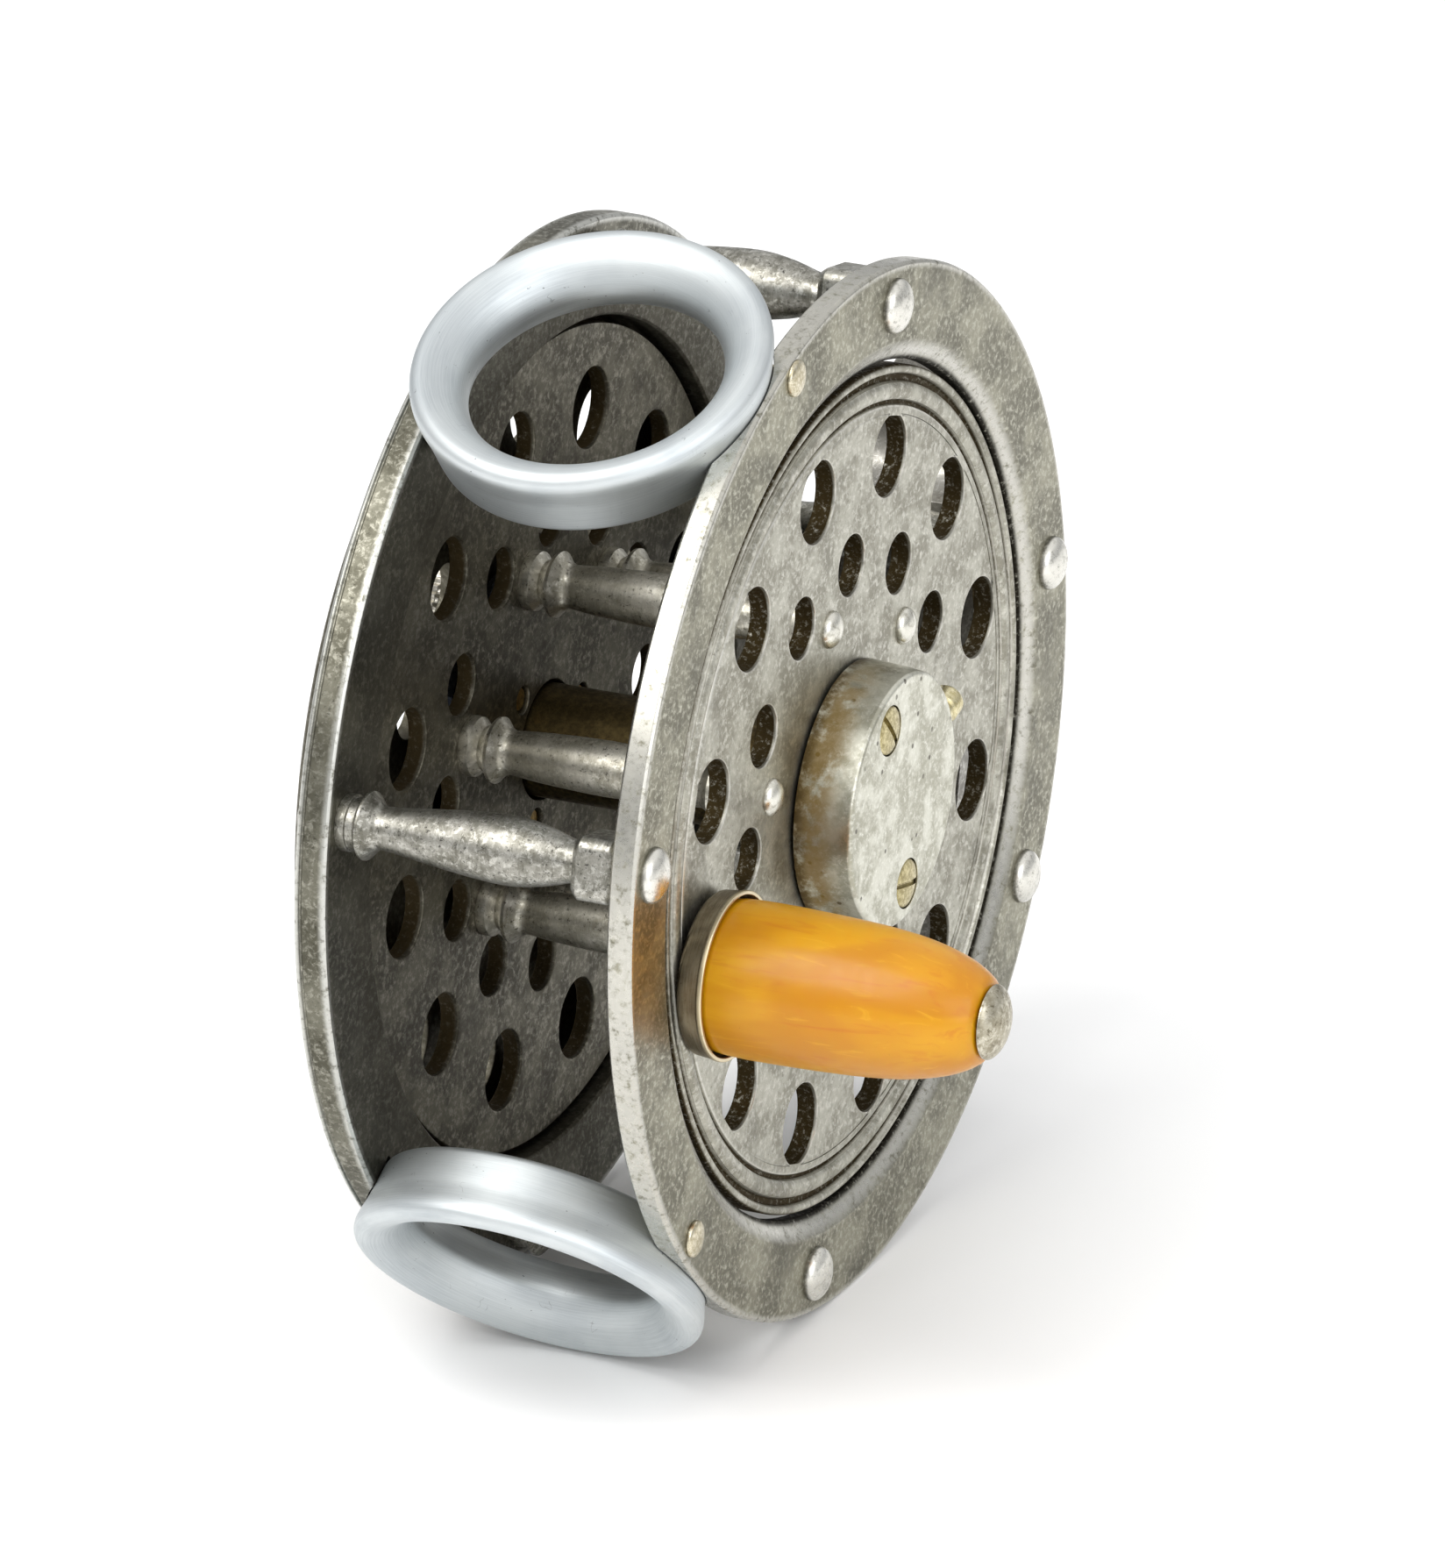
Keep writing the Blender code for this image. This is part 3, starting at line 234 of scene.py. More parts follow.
def add_disc(bm, loops, low, high, bevel=0.2):
    """A flat plate between closed loops, with chamfered edges on every loop."""
    curve = bpy.data.curves.new("disc", "CURVE")
    curve.dimensions = "2D"
    curve.fill_mode = "BOTH"
    curve.extrude = ((high - low) / 2 - bevel) * MM
    curve.bevel_depth = bevel * MM
    curve.bevel_resolution = 1
    curve.offset = -bevel * MM
    for loop in loops:
        spline = curve.splines.new("POLY")
        spline.points.add(len(loop) - 1)
        for point, (x, y) in zip(spline.points, loop):
            point.co = (x * MM, y * MM, 0, 1)
        spline.use_cyclic_u = True
    holder = bpy.data.objects.new("disc", curve)
    bpy.context.scene.collection.objects.link(holder)
    bpy.context.view_layer.update()
    mesh = bpy.data.meshes.new_from_object(holder.evaluated_get(bpy.context.evaluated_depsgraph_get()))
    bpy.data.objects.remove(holder)
    bpy.data.curves.remove(curve)
    mesh.transform(Matrix.Translation((0, 0, (low + high) / 2 * MM)))
    mesh.materials.clear()
    part = bmesh.new()
    part.from_mesh(mesh)
    bmesh.ops.remove_doubles(part, verts=part.verts, dist=2e-6)
    bmesh.ops.recalc_face_normals(part, faces=part.faces)
    part.to_mesh(mesh)
    part.free()
    bm.from_mesh(mesh)
    bpy.data.meshes.remove(mesh)
    return bm


def circle(radius, count=48, x=0.0, y=0.0):
    """A loop of points round a centre."""
    return [(x + radius * math.cos(math.tau * i / count), y + radius * math.sin(math.tau * i / count))
            for i in range(count)]


def hole_rings(phase, skip=()):
    """The holes of both rows, as loops. The outer row leaves out the holes to skip."""
    loops = []
    outer_row = HOLE_ROWS[0]
    for row in HOLE_ROWS:
        distance, radius, turn, count = row
        for i in range(HOLES_PER_ROW):
            if row is outer_row and i in skip:
                continue
            a = math.radians(phase + turn + 360 / HOLES_PER_ROW * i)
            loops.append(circle(radius, count, distance * math.cos(a), distance * math.sin(a)))
    return loops


def as_object(bm, name, matrix):
    """Turns the bmesh into an object at a place."""
    mesh = bpy.data.meshes.new(name)
    bm.to_mesh(mesh)
    bm.free()
    obj = bpy.data.objects.new(name, mesh)
    bpy.context.scene.collection.objects.link(obj)
    obj.matrix_world = matrix
    return obj


def cut(obj, tool, operation="DIFFERENCE"):
    """Applies a Boolean and drops its tool."""
    bpy.context.view_layer.update()
    step = obj.modifiers.new("cut", "BOOLEAN")
    step.operation = operation
    step.solver = "EXACT"
    step.object = tool
    bpy.context.view_layer.update()
    mesh = bpy.data.meshes.new_from_object(obj.evaluated_get(bpy.context.evaluated_depsgraph_get()))
    obj.modifiers.clear()
    old, obj.data = obj.data, mesh
    mesh.name = obj.name
    bpy.data.meshes.remove(old)
    bpy.data.objects.remove(tool)
    return obj


def piece(obj, body, material, slot, *nodes, sharp=32, bevel=0.0):
    """Gives a new piece its shading, material and body, and hides the CAD nodes that it stands for."""
    mesh = obj.data
    mesh.materials.clear()
    mesh.materials.append(material)
    mesh.shade_smooth()
    mesh.set_sharp_from_angle(angle=math.radians(sharp))
    if bevel:
        step = obj.modifiers.new("edges", "BEVEL")
        step.width = bevel * MM
        step.segments = 3
        step.limit_method = "ANGLE"
        step.angle_limit = math.radians(35)
        step.harden_normals = False
    weighted = obj.modifiers.new("normals", "WEIGHTED_NORMAL")
    weighted.keep_sharp = True
    weighted.weight = 50
    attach(obj, body)
    if nodes:
        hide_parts(*nodes)
    return obj


# ------------------------------------------------------------------ materials

def srgb(r, g, b):
    """A linear colour from an ordinary one, 0 to 255."""
    def lin(c):
        c /= 255
        return c / 12.92 if c <= 0.04045 else ((c + 0.055) / 1.055) ** 2.4
    return (lin(r), lin(g), lin(b), 1.0)


PIT_SHADE = 0.4


def darker(colour, share):
    """The colour with only a share of its light."""
    return tuple(c * share for c in colour[:3]) + (1.0,)


class Nodes:
    """A short way to build a node material."""

    def __init__(self, name, written=False):
        """written: the mesh carries its own coordinates, since its place is in its vertices."""
        self.material = bpy.data.materials.new(name)
        self.material.use_nodes = True
        self.tree = self.material.node_tree
        self.shader = self.tree.nodes["Principled BSDF"]
        if written:
            coords = self.tree.nodes.new("ShaderNodeAttribute")
            coords.attribute_name = "local"
            own = coords.outputs["Vector"]
        else:
            coords = self.tree.nodes.new("ShaderNodeTexCoord")
            own = coords.outputs["Object"]
        self.mm = self.vmath("SCALE", own, scale=1000.0)
        parts = self.tree.nodes.new("ShaderNodeSeparateXYZ")
        self.tree.links.new(self.mm, parts.inputs[0])
        self.x, self.y, self.z = parts.outputs
        self._radius = None

    def put(self, socket, value):
        if hasattr(value, "links"):
            self.tree.links.new(value, socket)
        else:
            socket.default_value = value

    def vmath(self, operation, a, b=None, scale=None):
        node = self.tree.nodes.new("ShaderNodeVectorMath")
        node.operation = operation
        self.put(node.inputs[0], a)
        if b is not None:
            self.put(node.inputs[1], b)
        if scale is not None:
            node.inputs["Scale"].default_value = scale
        return node.outputs["Value" if operation in ("LENGTH", "DOT_PRODUCT") else "Vector"]

    def math(self, operation, a, b=0.0, clamp=False):
        node = self.tree.nodes.new("ShaderNodeMath")
        node.operation = operation
        node.use_clamp = clamp
        self.put(node.inputs[0], a)
        self.put(node.inputs[1], b)
        return node.outputs[0]

    def combine(self, x, y, z):
        node = self.tree.nodes.new("ShaderNodeCombineXYZ")
        for socket, value in zip(node.inputs, (x, y, z)):
            self.put(socket, value)
        return node.outputs[0]

    @property
    def radius(self):
        if self._radius is None:
            self._radius = self.vmath("LENGTH", self.combine(self.x, self.y, 0.0))
        return self._radius

    def swept(self, along, across, out=0.0):
        """Coordinates that are stretched round the axis: for turned and brushed marks."""
        unit_x = self.math("MULTIPLY", self.math("DIVIDE", self.x, self.radius), along)
        unit_y = self.math("MULTIPLY", self.math("DIVIDE", self.y, self.radius), along)
        depth = self.math("ADD", self.math("MULTIPLY", self.z, across),
                          self.math("MULTIPLY", self.radius, out or across))
        return self.combine(unit_x, unit_y, depth)

    def stretched(self, across, along):
        """Coordinates scaled one way across the axis and another way along it."""
        return self.combine(self.math("MULTIPLY", self.x, across), self.math("MULTIPLY", self.y, across),
                            self.math("MULTIPLY", self.z, along))

    def noise(self, scale, detail=4.0, rough=0.55, vector=None, distortion=0.0):
        node = self.tree.nodes.new("ShaderNodeTexNoise")
        node.inputs["Scale"].default_value = scale
        node.inputs["Detail"].default_value = detail
        node.inputs["Roughness"].default_value = rough
        node.inputs["Distortion"].default_value = distortion
        self.put(node.inputs["Vector"], self.mm if vector is None else vector)
        return node.outputs["Fac"]

    def cells(self, scale, vector=None):
        node = self.tree.nodes.new("ShaderNodeTexVoronoi")
        node.inputs["Scale"].default_value = scale
        self.put(node.inputs["Vector"], self.mm if vector is None else vector)
        return node.outputs["Distance"]

    def ramp(self, value, low, high, to_low=0.0, to_high=1.0, smooth=True):
        node = self.tree.nodes.new("ShaderNodeMapRange")
        node.interpolation_type = "SMOOTHSTEP" if smooth else "LINEAR"
        self.put(node.inputs["Value"], value)
        node.inputs["From Min"].default_value = low
        node.inputs["From Max"].default_value = high
        node.inputs["To Min"].default_value = to_low
        node.inputs["To Max"].default_value = to_high
        return node.outputs["Result"]

    def near(self, value, centre, width):
        """1 at the centre, falling to 0 at the width."""
        away = self.math("ABSOLUTE", self.math("SUBTRACT", value, centre))
        return self.ramp(away, width, 0.0)

    def times(self, a, b):
        return self.math("MULTIPLY", a, b, clamp=True)

    def plus(self, a, b):
        return self.math("ADD", a, b, clamp=True)

    def mix(self, factor, a, b):
        node = self.tree.nodes.new("ShaderNodeMix")
        node.data_type = "RGBA"
        self.put(node.inputs["Factor"], factor)
        self.put(node.inputs[6], a)
        self.put(node.inputs[7], b)
        return node.outputs[2]

    def scratches(self, scale, density, angle=0.3, length=14.0):
        """Thin straight marks in two directions."""
        half_width = 0.012
        total = None
        for k, turn in enumerate((angle, angle + 1.9)):
            c, s = math.cos(turn), math.sin(turn)
            u = self.math("ADD", self.math("MULTIPLY", self.x, c), self.math("MULTIPLY", self.y, s))
            v = self.math("SUBTRACT", self.math("MULTIPLY", self.y, c), self.math("MULTIPLY", self.x, s))
            vector = self.combine(self.math("MULTIPLY", u, 1.0 / length), v,
                                  self.math("ADD", self.math("MULTIPLY", self.z, 0.7), 7.0 * k))
            field = self.noise(scale, 1.0, 0.4, vector)
            rising = self.ramp(field, 0.5 - half_width, 0.5)
            lines = self.times(rising, self.ramp(field, 0.5 + half_width, 0.5))
            gate = self.ramp(self.noise(0.35 + 0.1 * k, 2.0), 1 - density, 1 - density + 0.06)
            lines = self.times(lines, gate)
            total = lines if total is None else self.plus(total, lines)
        return total

    def bump(self, height, strength, distance):
        node = self.tree.nodes.new("ShaderNodeBump")
        node.inputs["Strength"].default_value = strength
        node.inputs["Distance"].default_value = distance * MM
        self.put(node.inputs["Height"], height)
        if self.shader.inputs["Normal"].links:
            self.tree.links.new(self.shader.inputs["Normal"].links[0].from_socket, node.inputs["Normal"])
        self.tree.links.new(node.outputs[0], self.shader.inputs["Normal"])

    def finish(self, colour, roughness, metallic=1.0, **extra):
        self.put(self.shader.inputs["Base Color"], colour)
        self.put(self.shader.inputs["Roughness"], roughness)
        self.put(self.shader.inputs["Metallic"], metallic)
        for key, value in extra.items():
            self.put(self.shader.inputs[key.replace("_", " ").title().replace("Ior", "IOR")], value)
        return self.material


def aged_metal(name, dark, mid, light, rough=(0.34, 0.5), speck=0.5, speck_colour=None, speck_scale=2.4,
               mottle=0.35, scratch=0.5, bright=None, bright_colour=None, turned=0.0, dirt_and_shade=None,
               dirt_and_shade_colour=None, bump=0.06, smudges=0.5):
    """Old nickel or aluminium: broad mottling, fine speckle and pits, scratches, worn edges, dirt, and
    painted highlight and shade.

    bright and the darkening function are functions of the nodes: bright says where the metal is lighter, on
    worn edges and as a painted highlight on rivet heads; the other says where it is darker, with dirt and
    with painted shade in gaps, grooves and the reel's inside.
    """
    n = Nodes(name)
    broad = n.noise(mottle, 5.0, 0.6)
    fine = n.noise(1.7, 6.0, 0.7, distortion=0.4)
    grain = n.noise(9.0, 3.0, 0.7)
    tone = n.mix(n.ramp(broad, 0.40, 0.62), dark, mid)
    tone = n.mix(n.times(n.ramp(fine, 0.46, 0.68), 0.8), tone, light)
    tone = n.mix(n.times(n.ramp(grain, 0.45, 0.3), 0.45), tone, dark)
    smudge = n.times(n.ramp(n.noise(0.075, 6.0, 0.68, distortion=0.6), 0.52, 0.66), smudges)
    tone = n.mix(smudge, tone, darker(dark, 0.55))
    pits = n.times(n.ramp(n.noise(speck_scale, 6.0, 0.75), 0.60 - 0.06 * speck, 0.70 - 0.04 * speck), speck)
    tone = n.mix(pits, tone, speck_colour or darker(dark, PIT_SHADE))
    roughness = n.ramp(fine, 0.3, 0.75, rough[1], rough[0])
    height = n.plus(n.times(grain, 0.5), n.times(pits, -0.6))
    if scratch:
        lines = n.scratches(2.2, 0.42 * scratch)
        tone = n.mix(n.times(lines, 0.5), tone, tuple(min(1.0, c * 1.6) for c in light[:3]) + (1.0,))
        n.bump(lines, 0.12, 0.02)
    if turned:
        rings = n.noise(1.0, 3.0, 0.7, n.swept(1.2, 9.0))
        tone = n.mix(n.times(n.ramp(rings, 0.35, 0.7), turned), tone, light)
        n.bump(rings, 0.25 * turned, 0.03)
    if bright is not None:
        # Lighter on worn edges, and a painted highlight where a caller asks for one.
        wear_and_highlight = n.times(bright(n), n.ramp(n.noise(1.3, 5.0, 0.7), 0.28, 0.52))
        tone = n.mix(wear_and_highlight, tone, bright_colour or light)
        roughness = n.math("SUBTRACT", roughness, n.times(wear_and_highlight, 0.1))
    if dirt_and_shade is not None:
        # Darker with dirt, and with painted shade where a caller asks for it.
        grime_and_painted_light = n.times(dirt_and_shade(n), n.ramp(n.noise(2.2, 5.0, 0.75), 0.22, 0.5))
        tone = n.mix(grime_and_painted_light, tone, dirt_and_shade_colour or srgb(70, 58, 38))
        roughness = n.plus(roughness, n.times(grime_and_painted_light, 0.3))
    n.bump(height, bump, 0.05)
    return n.finish(tone, roughness)


def rim_edge(n):
    """The outer edge of the ring and the plate."""
    return n.ramp(n.radius, 45.2, 45.7)


ring_metal = aged_metal(
    "ring_metal", srgb(110, 107, 92), srgb(150, 147, 130), srgb(190, 188, 172), rough=(0.3, 0.44), speck=0.4,
    mottle=0.16, scratch=0.7,
    bright=lambda n: n.plus(n.times(rim_edge(n), 0.85), n.near(n.radius, 38.2, 1.2)),
    bright_colour=srgb(196, 194, 186),
    # Painted shade: the inner edge at the bore, beside the gap round the spool, is painted nearly black.
    dirt_and_shade=lambda n: n.ramp(n.radius, 37.9, 37.45), dirt_and_shade_colour=srgb(34, 31, 24))
# Painted shade: the base colours are darkened for the shade inside the reel, and the plate is painted darker
# towards its middle.
plate_metal = aged_metal(
    "plate_metal", srgb(86, 84, 73), srgb(114, 112, 100), srgb(158, 156, 144), rough=(0.34, 0.48), speck=0.7,
    mottle=0.2, scratch=0.6,
    bright=lambda n: n.times(rim_edge(n), n.plus(n.near(n.z, -28.2, 0.7), n.near(n.z, -30.9, 0.5))),
    bright_colour=srgb(196, 196, 190),
    dirt_and_shade=lambda n: n.times(n.ramp(n.radius, 45.0, 36.0), 0.5), dirt_and_shade_colour=srgb(84, 78, 66))
flange_metal = aged_metal(
    "flange_metal", srgb(142, 139, 126), srgb(178, 176, 164), srgb(208, 206, 196), rough=(0.36, 0.5),
    speck=0.6, speck_colour=srgb(96, 92, 78), speck_scale=1.9, mottle=0.3, scratch=0.5,
    bright=lambda n: n.times(n.near(n.z, -1.16, 0.12), 0.9), bright_colour=srgb(216, 214, 206),
    # Darker below the face: grime in the hole walls and painted shade in the grooves by the beads. The outer
    # edge, by the gap to the ring, also gets painted shade.
    dirt_and_shade=lambda n: n.plus(n.ramp(n.z, -1.26, -1.42), n.ramp(n.radius, 36.6, 36.8)),
    dirt_and_shade_colour=srgb(62, 52, 32))
# Painted shade: a darker copy of the front flange's metal, for the shade inside the spool.
rear_flange_metal = aged_metal(
    "rear_flange_metal", srgb(92, 88, 76), srgb(124, 120, 106), srgb(166, 162, 148), rough=(0.38, 0.55),
    speck=0.6, speck_colour=srgb(70, 64, 52), mottle=0.25, scratch=0.4,
    dirt_and_shade=lambda n: n.ramp(n.z, -29.35, -29.7), dirt_and_shade_colour=srgb(74, 63, 42))
pillar_metal = aged_metal(
    "pillar_metal", srgb(112, 110, 100), srgb(154, 152, 144), srgb(206, 204, 196), rough=(0.3, 0.46),
    speck=1.0, speck_colour=srgb(48, 46, 40), speck_scale=2.6, mottle=0.5, scratch=0.3, turned=0.15,
    smudges=0.6, bump=0.12,
    # Painted highlight: the front rivet dome is painted lighter than the rest of the pillar.
    bright=lambda n: n.ramp(n.z, 0.15, 0.45), bright_colour=srgb(222, 220, 212))


def satin_guard():
    """Pale anodised aluminium: fine rings from turning, a few nicks and scuffs."""
    n = Nodes("guard_metal", written=True)
    rings = n.noise(1.0, 4.0, 0.75, n.swept(2.0, 7.0, 5.0))
    broad = n.noise(0.12, 3.0, 0.5)
    tone = n.mix(n.ramp(broad, 0.35, 0.65), srgb(184, 190, 193), srgb(200, 205, 206))
    tone = n.mix(n.times(n.ramp(rings, 0.3, 0.7), 0.4), tone, srgb(220, 224, 225))
    nicks = n.times(n.ramp(n.noise(1.1, 2.0, 0.6, n.swept(16.0, 2.2)), 0.725, 0.76), 0.8)
    scuffs = n.scratches(1.4, 0.34, 0.8, 6.0)
    marks = n.plus(nicks, n.times(scuffs, 0.5))
    tone = n.mix(marks, tone, srgb(90, 92, 94))
    n.bump(rings, 0.10, 0.02)
    n.bump(marks, -0.3, 0.04)
    roughness = n.ramp(rings, 0.2, 0.8, 0.56, 0.44)
    return n.finish(tone, roughness)


def cream_nickel(name, dark=srgb(176, 166, 138), light=srgb(226, 219, 198)):
    """Yellowed nickel of the small screws."""
    n = Nodes(name)
    fine = n.noise(2.4, 5.0, 0.7)
    tone = n.mix(n.ramp(fine, 0.35, 0.7), dark, light)
    spots = n.times(n.ramp(n.noise(4.0, 3.0, 0.7), 0.62, 0.7), 0.6)
    tone = n.mix(spots, tone, srgb(110, 100, 78))
    n.bump(n.noise(5.0, 4.0, 0.7), 0.15, 0.04)
    return n.finish(tone, n.ramp(fine, 0.3, 0.7, 0.38, 0.24))


def cap_finish():
    """Bright pitted aluminium, darker and browner round its foot, with a painted brown reflection of the
    amber handle low on its left side.
    """
    n = Nodes("cap_metal")
    broad = n.noise(0.35, 5.0, 0.6)
    fine = n.noise(2.0, 6.0, 0.75, distortion=0.5)
    tone = n.mix(n.ramp(broad, 0.40, 0.60), srgb(168, 166, 150), srgb(208, 207, 194))
    tone = n.mix(n.times(n.ramp(fine, 0.46, 0.7), 0.7), tone, srgb(232, 231, 222))
    pits = n.ramp(n.cells(0.55, n.vmath("ADD", n.mm, n.combine(0.0, 0.0, 3.3))), 0.16, 0.09)
    pits = n.times(pits, n.ramp(n.noise(0.5, 2.0), 0.42, 0.55))
    tone = n.mix(n.times(pits, 0.85), tone, srgb(70, 64, 52))
    # Painted reflection: the lower part of the left side, which faces the amber handle, is painted brown.
    side = n.ramp(n.z, 3.8, 1.2)
    left = n.ramp(n.x, 6.0, -6.0)
    grime_and_painted_light = n.times(n.times(side, left), n.ramp(n.noise(0.45, 5.0, 0.7), 0.3, 0.55))
    tone = n.mix(n.times(grime_and_painted_light, 0.8), tone, srgb(146, 120, 62))
    foot = n.times(n.ramp(n.z, 0.6, -0.6), n.ramp(n.noise(0.9, 4.0, 0.7), 0.3, 0.6))
    tone = n.mix(n.times(foot, 0.8), tone, srgb(74, 58, 30))
    # Painted shade: below the face and inside the rim, in the screws' counterbores, the latch's notch and the
    # underside, the cap is painted dark.
    recess_shade = n.times(n.ramp(n.z, 4.36, 4.2), n.ramp(n.radius, 10.9, 10.6))
    tone = n.mix(n.times(recess_shade, 0.9), tone, srgb(52, 46, 32))
    n.bump(fine, 0.12, 0.05)
    n.bump(pits, -0.5, 0.08)
    n.bump(n.scratches(2.0, 0.3), 0.15, 0.02)
    return n.finish(tone, n.plus(n.ramp(fine, 0.3, 0.75, 0.42, 0.3), n.times(grime_and_painted_light, 0.3)))


def amber():
    """Polished amber plastic, cloudy along its length."""
    n = Nodes("amber_handle")
    clouds = n.noise(1.0, 3.0, 0.5, n.stretched(0.16, 0.055), 0.6)
    streak = n.noise(1.0, 4.0, 0.6, n.stretched(0.9, 0.12), 0.8)
    tone = n.mix(n.ramp(clouds, 0.36, 0.64), srgb(184, 121, 5), srgb(200, 143, 12))
    tone = n.mix(n.times(n.ramp(streak, 0.54, 0.74), 0.4), tone, srgb(176, 88, 7))
    # Painted highlight: lighter streaks stand in for the grip's soft highlights.
    tone = n.mix(n.times(n.ramp(streak, 0.42, 0.28), 0.45), tone, srgb(212, 160, 32))
    dust = n.times(n.ramp(n.noise(3.4, 3.0, 0.7), 0.7, 0.76), 0.5)
    tone = n.mix(dust, tone, srgb(120, 66, 16))
    n.bump(n.noise(0.5, 3.0, 0.5), 0.05, 0.1)
    n.bump(n.scratches(2.0, 0.3, 1.2), 0.05, 0.02)
    return n.finish(tone, n.ramp(n.noise(0.9, 4.0, 0.6), 0.3, 0.7, 0.3, 0.42), 0.0, subsurface_weight=0.25,
                    subsurface_scale=0.002, coat_weight=0.12, coat_roughness=0.16,
                    specular_ior_level=0.35)


def ferrule_finish():
    """Brown brushed nickel silver with a pale lip."""
    n = Nodes("ferrule_metal")
    brush = n.noise(1.0, 4.0, 0.75, n.swept(3.0, 6.0))
    broad = n.noise(0.3, 4.0, 0.6)
    tone = n.mix(n.ramp(broad, 0.35, 0.65), srgb(120, 108, 88), srgb(158, 146, 124))
    tone = n.mix(n.times(n.ramp(brush, 0.4, 0.7), 0.5), tone, srgb(186, 176, 156))
    rim = n.ramp(n.z, 1.5, 1.75)
    tone = n.mix(n.times(rim, 0.9), tone, srgb(222, 208, 176))
    spots = n.times(n.ramp(n.noise(2.6, 4.0, 0.7), 0.62, 0.7), 0.6)
    tone = n.mix(spots, tone, srgb(78, 66, 48))
    n.bump(brush, 0.2, 0.03)
    return n.finish(tone, n.ramp(brush, 0.3, 0.7, 0.42, 0.3))


def plain_metal(name, base, light, rough=0.35):
    """Steel or brass of the small inner pieces."""
    n = Nodes(name)
    fine = n.noise(1.6, 5.0, 0.7)
    tone = n.mix(n.ramp(fine, 0.35, 0.7), base, light)
    spots = n.times(n.ramp(n.noise(3.0, 4.0, 0.7), 0.62, 0.72), 0.5)
    tone = n.mix(spots, tone, darker(base, PIT_SHADE))
    n.bump(fine, 0.1, 0.04)
    return n.finish(tone, n.ramp(fine, 0.3, 0.7, rough + 0.08, rough - 0.06))


guard_metal = satin_guard()
guard_screw_metal = cream_nickel("guard_screw_metal")
cap_screw_metal = cream_nickel("cap_screw_metal", srgb(150, 138, 96), srgb(206, 195, 152))
latch_metal = cream_nickel("latch_metal", srgb(190, 178, 134), srgb(232, 224, 188))
cap_metal = cap_finish()
amber_handle = amber()
ferrule_metal = ferrule_finish()
rivet_metal = aged_metal(
    "rivet_metal", srgb(150, 143, 124), srgb(184, 178, 160), srgb(220, 215, 200), rough=(0.3, 0.46),
    speck=0.9, speck_colour=srgb(104, 96, 76), speck_scale=2.2, mottle=0.7, scratch=0.6, bump=0.12)
spool_pillar_metal = aged_metal(
    "spool_pillar_metal", srgb(150, 146, 132), srgb(188, 184, 172), srgb(226, 223, 212), rough=(0.3, 0.46),
    speck=0.9, speck_colour=srgb(58, 52, 40), mottle=0.4, scratch=0.2, turned=0.2,
    # Painted highlight: the rivet head in front of the flange is painted lighter.
    bright=lambda n: n.ramp(n.z, -1.1, -0.8), bright_colour=srgb(220, 218, 208))
foot_metal = aged_metal(
    "foot_metal", srgb(128, 125, 118), srgb(160, 158, 151), srgb(206, 204, 198), rough=(0.3, 0.44), speck=0.4,
    mottle=0.2, scratch=1.0)
foot_screw_metal = cream_nickel("foot_screw_metal")
nut_metal = plain_metal("nut_metal", srgb(128, 125, 117), srgb(190, 187, 178), 0.34)
knob_metal = plain_metal("knob_metal", srgb(134, 130, 120), srgb(198, 194, 184), 0.32)
spindle_steel = plain_metal("spindle_steel", srgb(110, 110, 108), srgb(164, 164, 162), 0.3)
pawl_steel = plain_metal("pawl_steel", srgb(92, 91, 88), srgb(140, 139, 135), 0.38)
spring_steel = plain_metal("spring_steel", srgb(62, 66, 74), srgb(104, 108, 116), 0.32)
hub_brass = plain_metal("hub_brass", srgb(66, 56, 36), srgb(104, 90, 58), 0.42)
gear_brass = plain_metal("gear_brass", srgb(134, 106, 54), srgb(190, 160, 94), 0.36)

# These CAD pieces stay as they are, with their own materials.
for node, material in (("click_gear", gear_brass), ("drag_cam", gear_brass), ("click_pawl", pawl_steel),
                       ("pawl_post", pawl_steel), ("spring_stud", pawl_steel), ("click_spring", spring_steel),
                       ("latch_spring", spring_steel), ("spindle_clip", spring_steel)):
    obj = frame["nodes"][node]
    obj.data.materials.clear()
    obj.data.materials.append(material)


# ------------------------------------------------------------------ frame

def seat_guards(obj):
    """Cuts the round seats of the line guards out of a rim."""
    low, high = GUARD_BOTTOM - 0.1, 60
    for angle in GUARD_ANGLES.values():
        bm = bmesh.new()
        add_lathe(bm, [(0, high), (15.2, high), (15.2, 46.2), (14.62, low + 0.9), (14.5, low), (0, low)], 160)
        cut(obj, as_object(bm, "seat", outward(angle, GUARD_MIDDLE)))


def front_ring():
    """A flat ring with a bevelled inner edge."""
    edge, bevelled = FRAME_RADIUS, 39.1
    bm = bmesh.new()
    profile = rounded([(edge - 0.25, 0, 0.25), (edge, -0.3, 0.2), (edge, RING_BACK + 0.25, 0.2),
                       (edge - 0.25, RING_BACK, 0.2), (RING_BORE, RING_BACK, 0.1), (RING_BORE, -1.15, 0.25),
                       (bevelled, 0, 0.5)], count=4)
    add_lathe(bm, profile, 256, closed=True)
    obj = as_object(bm, "ring_plate", reel())
    seat_guards(obj)
    piece(obj, "frame", ring_metal, "ring_metal", "front_ring")


